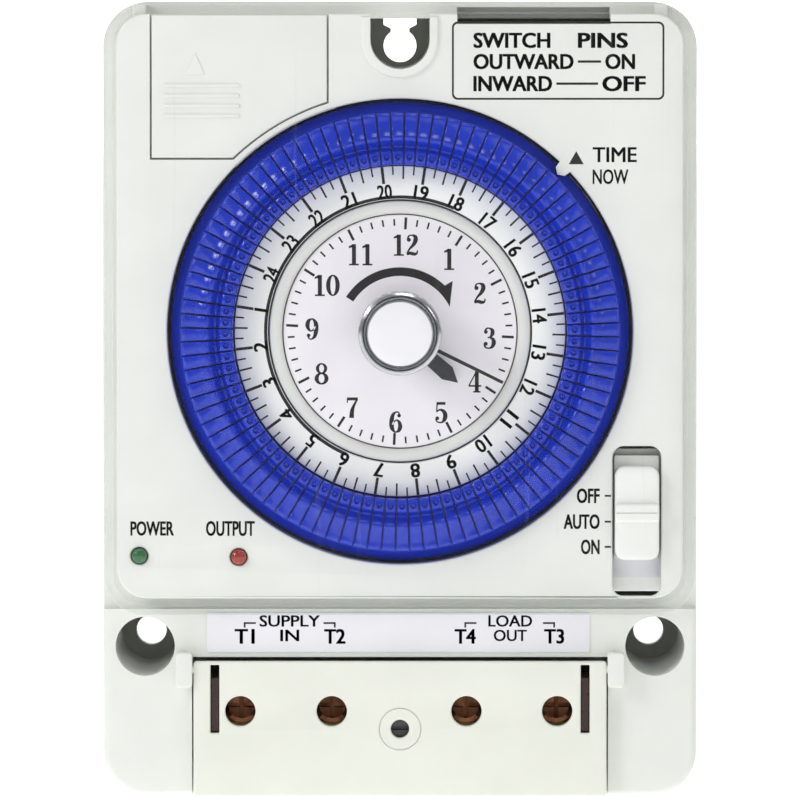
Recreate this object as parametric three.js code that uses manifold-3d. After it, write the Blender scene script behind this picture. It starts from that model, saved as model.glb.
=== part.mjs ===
// A wall-mounted 24-hour time switch: an electric clock movement turns a dial with 96 small tappets,
// one for each quarter hour, and the tappets work a changeover switch through a lever.
//
// The model is drawn in the plane of the clock face: x to the right, y up and z out from the wall
// towards the viewer, in millimetres. The exported group turns that plane upright, so that the
// viewer looks along +Y, z becomes -Y and the wall is the plane Y = 0.

import * as THREE from "three";
import { mergeVertices } from "three/addons/utils/BufferGeometryUtils.js";
import Module from "manifold-3d";

const wasm = await Module();
wasm.setup();

// ---------------------------------------------------------------- driving dimensions

const GAP = 0.1; // between pieces that are fixed to each other
const RUN = 0.3; // between pieces that move past each other

const CASE = { halfWidth: 50, top: 67, bottom: -67, corner: 7.6, wall: 2.8, back: 3 };
const RIM_Z = 38; // rim of the rear case, which the front panel and the clear cover stand on
const DECK_Z = 40; // front of the lower, fixed part of the rear case
const DECK_TOP = -35.3; // where the lower deck begins
const PANEL = { halfWidth: 47.5, top: 65, bottom: -33.2, corner: 5, z: 44.5, thick: 2 };
const COVER = { halfWidth: 49.2, top: 66.6, bottom: -35, corner: 6.5, z: 60, wall: 1.4, round: 3 };
const COVER_HINGE = { y: 65.3, z: 40, pin: 0.8, lugX: [42.6, 44.8], lugRound: 1.3 };

const DIAL = { y: 11.7, opening: 39.1, tappets: 96, phase: 53.7 };
const DIAL_STEP = 360 / DIAL.tappets;
const DIAL_SEGMENTS = 64;
const POINTER_ANGLE = 45; // clock angle of the "time now" tongue

const DOOR = { left: -41.7, right: -12.2, bottom: 40.8, top: 64.8, arc: 40.4, thick: 1.6 };
const KEYHOLE = { y: 60.7, well: 5, collar: 6.6, hole: 2.85, holeY: 59.4, neck: 1.6, flareY: 63.6 };
const FIXING = { x: 43, y: -41.6, counterbore: 5, hole: 2.6 };
const SWITCH = { x: 39.8, y: -20.2, width: 8.2, height: 25.3, corner: 1.9 };
const LAMPS = { power: [-43.8, -26], output: [-27.1, -26.2] };
const LAMP_RADIUS = 1.45;
const CASE_SCREWS = [
  [-44.4, 34],
  [44.4, 34],
  [-44.4, -2],
  [44.4, -2],
];

const TERMINAL_X = [-26.9, -11.5, 11.2, 26.5];
const TERMINAL_Y = -52.4;
const TERMINAL_COVER = { halfWidth: 34.8, top: -44, bottom: -66.8, z: 42.2, thick: 1.8 };
const COVER_SCREW_Y = -55.4;
const TERMINAL_HINGE = { y: -45.4, z: 41.4, pin: 0.7, earX: [35, 37.8], earY: [-48.4, -42.5] };
const BARRIER_X = 31.2;

const PLATES = { back: [12, 13.2], front: [30, 31.2], radius: 35 };

// Gear pairs: module in mm and tooth counts. The dial makes one turn while the minute arbor makes 24.
const MOTION = { module: 0.5, cannon: 12, minute: 36 };
const HOURS = { module: 0.4, pinion: 12, hour: 48, dialWheel: 24 };
const RING = { module: 1, pinion: 12, ring: 48 };
const CENTRE = { module: 0.6, pinion: 12, wheel: 36 };
const THIRD = { module: 0.5, pinion: 12, wheel: 36 };

const rad = THREE.MathUtils.degToRad;

// ---------------------------------------------------------------- solids

/** A closed three.js geometry as a manifold-3d solid. */
function solid(geometry) {
  const bare = geometry.clone();
  for (const name of ["normal", "uv"]) if (bare.getAttribute(name)) bare.deleteAttribute(name);
  const merged = mergeVertices(bare, 1e-4);
  const vertProperties = new Float32Array(merged.attributes.position.array);
  const triVerts = new Uint32Array(merged.index.array);
  return new wasm.Manifold(new wasm.Mesh({ numProp: 3, vertProperties, triVerts }));
}

/** A manifold-3d solid as a three.js geometry. */
function geometryOf(body) {
  const mesh = body.getMesh();
  const points = new Float32Array(mesh.numVert * 3);
  for (let i = 0; i < mesh.numVert; i++) {
    points.set(mesh.vertProperties.subarray(i * mesh.numProp, i * mesh.numProp + 3), i * 3);
  }
  return new THREE.BufferGeometry()
    .setAttribute("position", new THREE.BufferAttribute(points, 3))
    .setIndex(new THREE.BufferAttribute(new Uint32Array(mesh.triVerts), 1));
}

/** A span of x, from the middle outwards, on the left (-1) or the right (1). */
const bySide = (side, x0, x1) => (side < 0 ? [-x1, -x0] : [x0, x1]);

const join = (...bodies) => bodies.flat().reduce((all, body) => all.add(body));
const cut = (body, ...tools) => tools.flat().reduce((rest, tool) => rest.subtract(tool), body);

function box(x0, x1, y0, y1, z0, z1) {
  const geometry = new THREE.BoxGeometry(x1 - x0, y1 - y0, z1 - z0);
  return solid(geometry.translate((x0 + x1) / 2, (y0 + y1) / 2, (z0 + z1) / 2));
}

function plate(shape, z0, z1, curveSegments = 5) {
  const settings = { depth: z1 - z0, bevelEnabled: false, curveSegments };
  return solid(new THREE.ExtrudeGeometry(shape, settings).translate(0, 0, z0));
}

/** A cylinder, or a cone if two radii are given, standing on z0 at x, y. */
function rod(radius, z0, z1, x = 0, y = 0, segments = 16, topRadius = radius) {
  const geometry = new THREE.CylinderGeometry(topRadius, radius, z1 - z0, segments);
  return solid(geometry.rotateX(Math.PI / 2).translate(x, y, (z0 + z1) / 2));
}

/** A cylinder along x. */
function pinAlongX(radius, x0, x1, y, z, segments = 12) {
  const geometry = new THREE.CylinderGeometry(radius, radius, x1 - x0, segments);
  return solid(geometry.rotateZ(Math.PI / 2).translate((x0 + x1) / 2, y, z));
}

function tube(outer, inner, z0, z1, x = 0, y = 0, segments = 16) {
  const bore = rod(inner, z0 - 1, z1 + 1, x, y, segments);
  return cut(rod(outer, z0, z1, x, y, segments), bore);
}

/** A rectangle with round corners. */
function roundedRectangle(x0, x1, y0, y1, radius) {
  const shape = new THREE.Shape();
  shape.absarc(x1 - radius, y0 + radius, radius, -Math.PI / 2, 0);
  shape.absarc(x1 - radius, y1 - radius, radius, 0, Math.PI / 2);
  shape.absarc(x0 + radius, y1 - radius, radius, Math.PI / 2, Math.PI);
  shape.absarc(x0 + radius, y0 + radius, radius, Math.PI, 1.5 * Math.PI);
  shape.closePath();
  return shape;
}

/** A slab with a rectangular outline, round corners and a rounded front edge. */
function roundedSlab({ halfWidth, top, bottom, corner, z, round }, inset, z0) {
  const sink = inset + round;
  const outline = roundedRectangle(
    -halfWidth + sink,
    halfWidth - sink,
    bottom + sink,
    top - sink,
    Math.max(corner - sink, 0.6),
  );
  const settings = {
    depth: z - z0,
    bevelThickness: round,
    bevelSize: round,
    bevelSegments: 3,
    curveSegments: 4,
  };
  const slab = solid(new THREE.ExtrudeGeometry(outline, settings).translate(0, 0, z0 - round - inset));
  return slab.subtract(box(-99, 99, -99, 99, z0 - 60, z0));
}

/** A profile of (radius, z) points turned about the z axis; it closes on itself or on the axis. */
function turned(points, segments = 32) {
  const outline = points.map(([r, z]) => new THREE.Vector2(r, z));
  return solid(new THREE.LatheGeometry(outline, segments).rotateX(Math.PI / 2));
}

// ---------------------------------------------------------------- gears

const PRESSURE = rad(20);
const ADDENDUM = 0.8;
const DEDENDUM = 1.15;
const THINNING = 0.12; // taken off each tooth's thickness, in modules
const involute = (angle) => Math.tan(angle) - angle;

/** Half the angle that a tooth spans at a radius. */
function halfTooth(teeth, module, radius, thinning) {
  const pitch = (teeth * module) / 2;
  const base = pitch * Math.cos(PRESSURE);
  const half = Math.PI / (2 * teeth) - (thinning * module) / (2 * pitch);
  const slope = radius > base ? Math.acos(base / radius) : 0;
  return half + involute(PRESSURE) - involute(slope);
}

/** The outline of a spur gear's teeth; a ring gear's is the outline of its opening. */
function toothOutline(teeth, module, phase, ring = false) {
  const pitch = (teeth * module) / 2;
  const low = pitch - (ring ? ADDENDUM : DEDENDUM) * module;
  const high = pitch + (ring ? DEDENDUM : ADDENDUM) * module;
  const thinning = ring ? -THINNING : THINNING;
  const shape = new THREE.Shape();
  for (let k = 0; k < teeth; k++) {
    const middle = phase + (k * 2 * Math.PI) / teeth;
    for (const [radius, side] of [
      [low, -1],
      [high, -1],
      [high, 1],
      [low, 1],
    ]) {
      const angle = middle + side * halfTooth(teeth, module, radius, thinning);
      const point = [radius * Math.cos(angle), radius * Math.sin(angle)];
      if (shape.curves.length || shape.currentPoint.length()) shape.lineTo(...point);
      else shape.moveTo(...point);
    }
  }
  shape.closePath();
  return shape;
}

function gear(teeth, module, phase, z0, z1) {
  return plate(toothOutline(teeth, module, phase), z0, z1);
}

/** The phase that puts a driven gear's gaps on its driver's teeth. */
function meshedPhase(driverTeeth, driverPhase, teeth, direction) {
  const place = ((direction - driverPhase) * driverTeeth) / (2 * Math.PI);
  return direction + Math.PI - ((0.5 - place) * 2 * Math.PI) / teeth;
}

const away = (distance, direction) => [distance * Math.cos(direction), distance * Math.sin(direction)];

// Where the arbors stand, measured from the dial's centre, and how their teeth are turned.
const minuteSpacing = ((MOTION.cannon + MOTION.minute) * MOTION.module) / 2;
const dialWheelSpacing = ((HOURS.pinion + HOURS.dialWheel) * HOURS.module) / 2;
const dialPinionSpacing = ((RING.ring - RING.pinion) * RING.module) / 2;
const minuteDirection = rad(-62);
const spread =
  (minuteSpacing ** 2 + dialPinionSpacing ** 2 - dialWheelSpacing ** 2) /
  (2 * minuteSpacing * dialPinionSpacing);
const dialDriveDirection = minuteDirection + Math.acos(spread);
const minuteAt = away(minuteSpacing, minuteDirection);
const dialDriveAt = away(dialPinionSpacing, dialDriveDirection);
const dialDriveFromMinute = Math.atan2(dialDriveAt[1] - minuteAt[1], dialDriveAt[0] - minuteAt[0]);

const centreSpacing = ((CENTRE.pinion + CENTRE.wheel) * CENTRE.module) / 2;
const motorSpacing = ((THIRD.pinion + THIRD.wheel) * THIRD.module) / 2;
const thirdDirection = rad(105);
const motorDirection = rad(200);
const thirdAt = away(centreSpacing, thirdDirection);
const motorAt = thirdAt.map((v, i) => v + away(motorSpacing, motorDirection)[i]);

const minuteWheelPhase = meshedPhase(MOTION.cannon, 0, MOTION.minute, minuteDirection);
const hourPhase = meshedPhase(HOURS.pinion, 0, HOURS.hour, minuteDirection + Math.PI);
const dialWheelPhase = meshedPhase(HOURS.pinion, 0, HOURS.dialWheel, dialDriveFromMinute);
const dialPinionPlace = (dialDriveDirection * RING.pinion) / (2 * Math.PI);
const ringPhase = dialDriveDirection - (dialPinionPlace * 2 * Math.PI) / RING.ring;
const thirdPinionPhase = meshedPhase(CENTRE.wheel, 0, CENTRE.pinion, thirdDirection);
const motorPinionPhase = meshedPhase(THIRD.wheel, 0, THIRD.pinion, motorDirection);

/** Moves a solid from the dial's centre, or from a point beside it, to its place. */
const onDial = (body, [x, y] = [0, 0]) => body.translate([x, DIAL.y + y, 0]);

// ---------------------------------------------------------------- casing

function screwTowers(z0, z1, outer, inner) {
  return CASE_SCREWS.map(([x, y]) => tube(outer, inner, z0, z1, x, y, 10));
}

/** The opening in the back wall that hangs on a screw: a round hole, a neck and a wider top. */
function keyholeSlot() {
  const { hole, holeY, neck, flareY } = KEYHOLE;
  const shape = new THREE.Shape();
  shape.moveTo(-neck, holeY + 2.4);
  shape.absarc(0, holeY, hole, rad(146), rad(394));
  shape.lineTo(neck, holeY + 2.4);
  shape.lineTo(neck, flareY - 1);
  shape.lineTo(hole, flareY - 0.4);
  shape.absarc(hole - 0.6, flareY + 0.2, 0.6, 0, Math.PI / 2);
  shape.absarc(-hole + 0.6, flareY + 0.2, 0.6, Math.PI / 2, Math.PI);
  shape.lineTo(-hole, flareY - 0.4);
  shape.lineTo(-neck, flareY - 1);
  shape.closePath();
  return plate(shape, -1, CASE.back + 1);
}

/** The U of the hanging well: round at the bottom, straight sides up to a height. */
function wellShape(radius, top) {
  const shape = new THREE.Shape();
  shape.absarc(0, KEYHOLE.y, radius, Math.PI, 2 * Math.PI);
  shape.lineTo(radius, top);
  shape.lineTo(-radius, top);
  shape.closePath();
  return shape;
}

function rearCase() {
  const { halfWidth, top, bottom, corner, wall, back } = CASE;
  const outline = roundedRectangle(-halfWidth, halfWidth, bottom, top, corner);
  const inX = halfWidth - wall;
  const divider = DECK_TOP + 2;
  const upperCavity = plate(
    roundedRectangle(-inX, inX, divider, top - wall, corner - wall),
    back,
    RIM_Z + 1,
  );
  const lowerCavity = plate(
    roundedRectangle(-inX, inX, bottom + wall, DECK_TOP, corner - wall),
    back,
    DECK_Z - 2.4,
  );
  const shell = cut(plate(outline, 0, DECK_Z), upperCavity, lowerCavity);
  const step = box(-halfWidth - 1, halfWidth + 1, DECK_TOP, top + 1, RIM_Z, DECK_Z + 1);
  const well = plate(wellShape(KEYHOLE.well + 1.6, top - 1), back - 0.5, RIM_Z);
  const wellBore = plate(wellShape(KEYHOLE.well, top - wall), back, RIM_Z + 1);
  const fixings = [-FIXING.x, FIXING.x];
  const towers = fixings.map((x) => rod(FIXING.counterbore + 1.6, 1, DECK_Z, x, FIXING.y, 20));
  const shoulders = [-1, 1].map((side) => {
    const [x0, x1] = bySide(side, FIXING.x, inX + 1);
    return box(x0, x1, FIXING.y, DECK_TOP + 1, 1, DECK_Z - 1);
  });
  const counterbores = fixings.map((x) => rod(FIXING.counterbore, back, DECK_Z + 1, x, FIXING.y, 20));
  const holes = fixings.map((x) => rod(FIXING.hole, -1, back + 1, x, FIXING.y, 16));
  const screwBosses = CASE_SCREWS.map(([x, y]) => rod(3.9, 1, 8.4, x, y, 10));
  const screwRecesses = CASE_SCREWS.map(([x, y]) => rod(3.1, -1, 4, x, y, 12));
  const screwHoles = CASE_SCREWS.map(([x, y]) => rod(1.6, -1, 9, x, y, 10));

  // The compartment for the terminals, open to the front and, for the wires, at the bottom.
  const { halfWidth: coverHalf, top: coverTop } = TERMINAL_COVER;
  const compartment = box(-coverHalf - 0.3, coverHalf + 0.3, bottom - 1, coverTop + 0.6, 10, DECK_Z + 1);
  const sideWalls = [-1, 1].map((side) => {
    const [x0, x1] = bySide(side, coverHalf + 0.3, coverHalf + 1.9);
    return box(x0, x1, bottom + 1, coverTop + 2, 2, DECK_Z - 1);
  });
  const topWall = box(-coverHalf - 1.9, coverHalf + 1.9, coverTop + 0.6, coverTop + 2.2, 2, DECK_Z - 1);
  const ears = [-1, 1].map((side) => {
    const [x0, x1] = bySide(side, ...TERMINAL_HINGE.earX);
    return box(x0, x1, ...TERMINAL_HINGE.earY, DECK_Z - 3, 43);
  });
  const earBores = pinAlongX(TERMINAL_HINGE.pin + 0.15, -36.6, 36.6, TERMINAL_HINGE.y, TERMINAL_HINGE.z);
  const lugs = [-1, 1].map((side) => hingeLug(side));
  const wireWindow = box(-30, 30, divider - 3, divider + 1, 8, 30);
  const sideWindows = box(-coverHalf - 3, coverHalf + 3, -62, -50, 12, 34);

  const withWalls = join(shell, well, towers, shoulders, screwBosses);
  const bores = [wellBore, keyholeSlot(), counterbores, holes].flat();
  const opened = cut(withWalls, step, compartment, bores, wireWindow);
  const finished = join(cut(opened, screwRecesses, screwHoles), sideWalls, topWall, ears, lugs);
  return cut(finished, earBores, counterbores, sideWindows);
}

/** One of the two lugs on the rim that carry the clear cover's hinge pins. */
function hingeLug(side) {
  const { y, z, pin, lugX, lugRound } = COVER_HINGE;
  const [x0, x1] = bySide(side, ...lugX);
  const body = join(
    pinAlongX(lugRound, x0, x1, y, z, 16),
    box(x0, x1, y - lugRound, y + lugRound, RIM_Z - 1, z),
  );
  return cut(body, pinAlongX(pin + 0.15, x0 - 1, x1 + 1, y, z));
}

/** The tongue on the dial opening's edge that points at the time now. */
function pointerTongue() {
  const reach = DIAL.opening - 1.8;
  const half = 1.3;
  const shape = new THREE.Shape();
  shape.moveTo(-2.9, DIAL.opening + 1);
  shape.lineTo(-2.4, DIAL.opening - 0.2);
  shape.quadraticCurveTo(-1.9, reach + half + 0.1, -half, reach + 0.6);
  shape.quadraticCurveTo(-0.7, reach, 0, reach);
  shape.quadraticCurveTo(0.7, reach, half, reach + 0.6);
  shape.quadraticCurveTo(1.9, reach + half + 0.1, 2.4, DIAL.opening - 0.2);
  shape.lineTo(2.9, DIAL.opening + 1);
  shape.closePath();
  return onDial(plate(shape, PANEL.z - 0.9, PANEL.z, 4).rotate([0, 0, -POINTER_ANGLE]));
}

/** The outline of the door's opening: straight, but for an arc round the dial. */
function doorShape(grow, top) {
  const { left, right, bottom, arc } = DOOR;
  const radius = arc - grow;
  const x1 = right + grow;
  const y0 = bottom - grow;
  const arcEnd = [x1, DIAL.y + Math.sqrt(radius ** 2 - x1 ** 2)];
  const arcStart = [-Math.sqrt(radius ** 2 - (y0 - DIAL.y) ** 2), y0];
  const angleOf = ([x, y]) => Math.atan2(y - DIAL.y, x);
  const shape = new THREE.Shape();
  shape.moveTo(left - grow, top);
  shape.lineTo(left - grow, y0);
  shape.lineTo(...arcStart);
  shape.absarc(0, DIAL.y, radius, angleOf(arcStart), angleOf(arcEnd), true);
  shape.lineTo(x1, top);
  shape.closePath();
  return shape;
}

function frontPanel() {
  const { halfWidth, top, bottom, corner, z, thick } = PANEL;
  const outline = roundedRectangle(-halfWidth, halfWidth, bottom, top, corner);
  const skirtTop = top - 1.8; // set back, to leave room for the clear cover's turning edge
  const skirt = cut(
    plate(roundedRectangle(-halfWidth, halfWidth, bottom, skirtTop, corner), RIM_Z + GAP, z - thick + 0.2),
    plate(
      roundedRectangle(-halfWidth + 1.6, halfWidth - 1.6, bottom + 1.6, skirtTop - 1.6, corner - 1.6),
      RIM_Z - 1,
      z,
    ),
  );
  const face = plate(outline, z - thick, z);
  const dialRim = onDial(tube(DIAL.opening + 1.3, DIAL.opening, RIM_Z + 1, z, 0, 0, DIAL_SEGMENTS));
  const collar = join(
    plate(wellShape(KEYHOLE.collar, skirtTop), RIM_Z + GAP, z - thick + 0.2),
    plate(wellShape(KEYHOLE.collar, top - 0.4), z - thick, z + 0.5),
  );
  const bosses = screwTowers(8.6, z - thick + 0.3, 2.6, 1.5);

  // The door lies in a shallow tray, open to the battery behind it.
  const doorTray = plate(doorShape(0.25, top + 1), z - DOOR.thick - 0.15, z + 1, 10);
  const tray = plate(doorShape(1.4, skirtTop), RIM_Z + 2, z - thick + 0.2, 10);
  const trayOpening = plate(doorShape(-1.6, DOOR.top - 2.6), RIM_Z, z + 1, 10);

  const { x, y, width, height, corner: windowCorner } = SWITCH;
  const windowShape = roundedRectangle(
    x - width / 2,
    x + width / 2,
    y - height / 2,
    y + height / 2,
    windowCorner,
  );
  const lampHoles = Object.values(LAMPS).map(([lx, ly]) => rod(LAMP_RADIUS, RIM_Z, z + 1, lx, ly, 12));
  const topSlot = box(9.6, 35.3, top - 1.7, top + 1, RIM_Z, z + 1);
  const sliderRoom = box(x - 5, x + 5, y - 13.9, y + 14.4, RIM_Z - 1, z - thick);
  const dialOpening = onDial(rod(DIAL.opening, RIM_Z - 1, z + 2, 0, 0, DIAL_SEGMENTS));
  const body = cut(
    join(skirt, face, dialRim, collar, bosses, tray),
    dialOpening,
    doorTray,
    trayOpening,
    plate(windowShape, RIM_Z, z + 1),
    plate(wellShape(KEYHOLE.well, top + 1), RIM_Z - 1, z + 2),
    lampHoles,
    topSlot,
    sliderRoom,
  );
  return body.add(pointerTongue());
}

function clearCover() {
  const { halfWidth, top, wall } = COVER;
  const { y, z, pin, lugX } = COVER_HINGE;
  const z0 = RIM_Z + 0.6;
  const shell = cut(roundedSlab(COVER, 0, z0), roundedSlab(COVER, wall, z0 - 5));
  const lugNotches = [-1, 1].map((side) => {
    const [x0, x1] = bySide(side, lugX[0] - RUN, lugX[1] + RUN);
    return box(x0, x1, top - wall - 2, top + 1, z0 - 1, z + 2.1);
  });
  const pins = [-1, 1].map((side) => {
    const [x0, x1] = bySide(side, lugX[0] - 0.2, lugX[1] + RUN + 0.9);
    return pinAlongX(pin, x0, x1, y, z);
  });
  const doorNotch = box(DOOR.left - 0.8, DOOR.right + RUN, top - wall - 2, top + 1, z0 - 1, PANEL.z + 0.6);
  const grips = [-1, 1].flatMap((side) =>
    [0, 1, 2, 3].map((k) => {
      const [x0, x1] = bySide(side, halfWidth - 0.35, halfWidth + 0.3);
      return box(x0, x1, -21.6 + k * 0.75, -21.25 + k * 0.75, 47, 53);
    }),
  );
  return join(cut(shell, lugNotches, doorNotch), pins, grips);
}

function batteryDoor() {
  const { thick, left } = DOOR;
  const z = PANEL.z;
  const slab = plate(doorShape(-0.05, DOOR.top), z - thick, z - 0.05, 10);
  const middle = left + 11;
  const ribs = [47.6, 49.3, 51, 52.7].map((y) => box(left + 2, left + 17, y, y + 0.6, z - 0.3, z + 0.25));
  const arrow = new THREE.Shape();
  arrow.moveTo(middle - 2, 55.6);
  arrow.lineTo(middle + 2, 55.6);
  arrow.lineTo(middle, 59.4);
  arrow.closePath();
  return join(slab, ribs, plate(arrow, z - 0.3, z + 0.15));
}

function terminalCover() {
  const { halfWidth, top, bottom, z, thick } = TERMINAL_COVER;
  const face = box(-halfWidth, halfWidth, bottom, top, z - thick, z);
  const lip = box(-halfWidth + 0.4, halfWidth - 0.4, bottom, bottom + 1.6, z - 9, z - thick + 0.1);
  const sides = [-1, 1].map((side) => {
    const [x0, x1] = bySide(side, halfWidth - 1.4, halfWidth);
    return box(x0, x1, bottom + 0.2, TERMINAL_HINGE.y - 3, z - 7, z - thick + 0.1);
  });
  const boss = rod(3.55, z - 7, z, 0, COVER_SCREW_Y, 20);
  const trunnions = [-1, 1].map((side) => {
    const [x0, x1] = bySide(side, halfWidth - 0.5, 36.4);
    return pinAlongX(TERMINAL_HINGE.pin, x0, x1, TERMINAL_HINGE.y, TERMINAL_HINGE.z);
  });
  const screwWindows = TERMINAL_X.map((x) => rod(2.55, z - 12, z + 1, x, TERMINAL_Y, 16));
  const slots = [-1, 1].map((side) => {
    const x = side * BARRIER_X;
    return box(x - 0.75, x + 0.75, -56.1, -44.6, z - 12, z + 1);
  });
  const screwHole = rod(1.55, z - 12, z + 1, 0, COVER_SCREW_Y, 12);
  const screwRoom = rod(2.6, z - 12, z - thick, 0, COVER_SCREW_Y, 16);
  return cut(join(face, lip, sides, boss, trunnions), screwWindows, slots, screwHole, screwRoom);
}

/** The captive screw that holds the terminal cover shut. */
function coverScrew() {
  const z = TERMINAL_COVER.z - TERMINAL_COVER.thick;
  const head = rod(2.3, z - 2.2, z - RUN, 0, COVER_SCREW_Y, 14);
  const shank = rod(1.2, z - 7.6, z - 2, 0, COVER_SCREW_Y, 10);
  return cut(join(head, shank), box(-1.8, 1.8, COVER_SCREW_Y - 0.35, COVER_SCREW_Y + 0.35, z - 1.3, z));
}

// ---------------------------------------------------------------- terminals

const BLOCK_Z = 24; // front of the terminal block's floor, under the brass

function terminalBlock() {
  const floor = box(-33, 33, -62, -46.4, 13, BLOCK_Z);
  const barriers = [-19.2, -4.6, 4.6, 18.8].map((x) => box(x - 0.8, x + 0.8, -62, -46.4, BLOCK_Z - 1, 35));
  const ends = [-1, 1].map((side) => {
    const x = side * BARRIER_X;
    return box(x - 0.6, x + 0.6, -55.8, -46.9, BLOCK_Z - 1, 41.4);
  });
  const wells = TERMINAL_X.map((x) => rod(1.9, BLOCK_Z - 7, BLOCK_Z + 1, x, TERMINAL_Y, 12));
  const foot = box(-33, 33, -62, -46.4, CASE.back + 7.2, 13.1);
  const nutBoss = tube(3.4, 1.5, BLOCK_Z - 1, 32.4, 0, COVER_SCREW_Y);
  return cut(join(floor, barriers, ends, foot, nutBoss), wells);
}

/** A brass plate that clamps the wire: flat, with its lower end turned up as a guide. */
function terminalPlate(x) {
  const z = BLOCK_Z + GAP;
  const flat = box(x - 3.5, x + 3.5, -60.6, -47.2, z, z + 1.2);
  const guide = box(x - 3.5, x + 3.5, -60.6, -59.6, z, z + 3.4);
  const tail = box(x - 1.6, x + 1.6, -48, -45.6, z, z + 1.2);
  return cut(join(flat, guide, tail), rod(1.9, z - 1, z + 4, x, TERMINAL_Y, 12));
}

/** A pan-head screw with a cross recess and a square clamping washer under its head. */
function terminalScrew(x) {
  const z = BLOCK_Z + 1.4;
  const shank = rod(1.6, z - 7, z + 2, x, TERMINAL_Y, 10);
  const washer = box(x - 3.2, x + 3.2, TERMINAL_Y - 3.2, TERMINAL_Y + 3.2, z + 0.7, z + 1.5);
  const head = join(
    rod(3.2, z + 1.4, z + 3.2, x, TERMINAL_Y, 16),
    rod(3.2, z + 3.1, z + 4, x, TERMINAL_Y, 16, 2.3),
  );
  const cross = [
    box(x - 2.2, x + 2.2, TERMINAL_Y - 0.4, TERMINAL_Y + 0.4, z + 2.6, z + 5),
    box(x - 0.4, x + 0.4, TERMINAL_Y - 2.2, TERMINAL_Y + 2.2, z + 2.6, z + 5),
  ];
  return cut(join(shank, washer, head), cross);
}

function terminalLabel() {
  return box(-32.6, 32, -42.6, -35.9, DECK_Z + 0.02, DECK_Z + 0.22);
}

function caseScrew([x, y]) {
  const head = rod(2.7, 1.6, 3.8, x, y, 12);
  const cross = [
    box(x - 1.8, x + 1.8, y - 0.35, y + 0.35, 1, 2.8),
    box(x - 0.35, x + 0.35, y - 1.8, y + 1.8, 1, 2.8),
  ];
  return cut(join(head, rod(1.25, 3.6, 24, x, y, 8)), cross);
}

// ---------------------------------------------------------------- movement

function backPlate() {
  const disc = onDial(rod(PLATES.radius - 6, PLATES.back[0], PLATES.back[1], 0, 0, 32));
  const pillars = [20, 140, 250, 320].map((angle) =>
    onDial(rod(1.8, PLATES.back[0], PLATES.front[0] - GAP, 0, 0, 12), away(27, rad(angle))),
  );
  const bores = [
    onDial(rod(1.3, 0, 20, 0, 0, 12)),
    onDial(rod(1, 0, 20, 0, 0, 12), thirdAt),
    onDial(rod(2.1, 0, 20, 0, 0, 16), motorAt),
  ];
  return cut(join(disc, pillars), bores);
}

/** The front plate, with the rim that the dial turns on and the studs of the minute wheel and lever. */
function frontPlate() {
  const [z0, z1] = PLATES.front;
  const disc = onDial(rod(PLATES.radius, z0, z1, 0, 0, 36));
  const switchEar = box(20, 41.2, 26, 48.6, z0, z1);
  const dialBearing = onDial(tube(28.4, 26.8, z1 - 0.2, 36.4, 0, 0, 48));
  const minuteStud = onDial(rod(0.8, z1 - 0.2, 37.1, 0, 0, 12), minuteAt);
  const leverStud = rod(1.1, z1 - 0.2, 36.2, ...LEVER.pivot, 14);
  const bores = [
    onDial(rod(1.4, z0 - 1, z1 + 1, 0, 0, 16)),
    onDial(rod(1, z0 - 1, z1 + 1, 0, 0, 12), thirdAt),
  ];
  return cut(join(disc, switchEar, dialBearing, minuteStud, leverStud), bores);
}

function motor() {
  const can = onDial(rod(13.5, 3.4, PLATES.back[0] - GAP, 0, 0, 32), motorAt);
  const tagBlock = onDial(box(-5, 5, 12, 16.5, 4, 9), motorAt);
  const collar = onDial(rod(1.9, 11, 14.4, 0, 0, 16), motorAt);
  return join(can, tagBlock, collar);
}

function motorPinion() {
  const pinion = onDial(gear(THIRD.pinion, THIRD.module, motorPinionPhase, 14.8, 18.6), motorAt);
  return pinion.add(onDial(rod(0.7, 14.6, 20, 0, 0, 12), motorAt));
}

function thirdWheel() {
  const wheel = gear(THIRD.wheel, THIRD.module, 0, 16, 17.4);
  const pinion = gear(CENTRE.pinion, CENTRE.module, thirdPinionPhase, 19.6, 24.2);
  const arbor = rod(0.75, 12.6, 30.8, 0, 0, 12);
  return onDial(join(wheel, pinion, arbor, rod(1.6, 17.2, 19.8, 0, 0, 12)), thirdAt);
}

function centreWheel() {
  const wheel = gear(CENTRE.wheel, CENTRE.module, 0, 21.2, 22.6);
  const hub = rod(2.6, 20.4, 24.4, 0, 0, 14);
  return onDial(cut(join(wheel, hub), rod(1.1, 20, 25, 0, 0, 12)));
}

function centreArbor() {
  const arbor = rod(1, 12.4, 53.2, 0, 0, 12);
  const cannon = gear(MOTION.cannon, MOTION.module, 0, 31.8, 34.7);
  return onDial(join(arbor, cannon));
}

function minuteWheel() {
  const wheel = gear(MOTION.minute, MOTION.module, minuteWheelPhase, 32.1, 33.7);
  const pinion = gear(HOURS.pinion, HOURS.module, 0, 33.6, 36.9);
  return onDial(cut(join(wheel, pinion), rod(0.95, 31, 38, 0, 0, 12)), minuteAt);
}

function hourWheel() {
  const wheel = gear(HOURS.hour, HOURS.module, hourPhase, 35.1, 36.6);
  const pipe = rod(2.1, 35.1, 45.6, 0, 0, 14);
  return onDial(cut(join(wheel, pipe), rod(1.25, 34, 47, 0, 0, 14)));
}

function dialDriveWheel() {
  const wheel = gear(HOURS.dialWheel, HOURS.module, dialWheelPhase, 35.1, 36.6);
  const pinion = gear(RING.pinion, RING.module, 0, 37.5, 40.3);
  const hub = rod(2, 36.4, 37.7, 0, 0, 16);
  return onDial(cut(join(wheel, pinion, hub), rod(0.95, 34, 41, 0, 0, 12)), dialDriveAt);
}

// ---------------------------------------------------------------- dial and tappets

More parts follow.
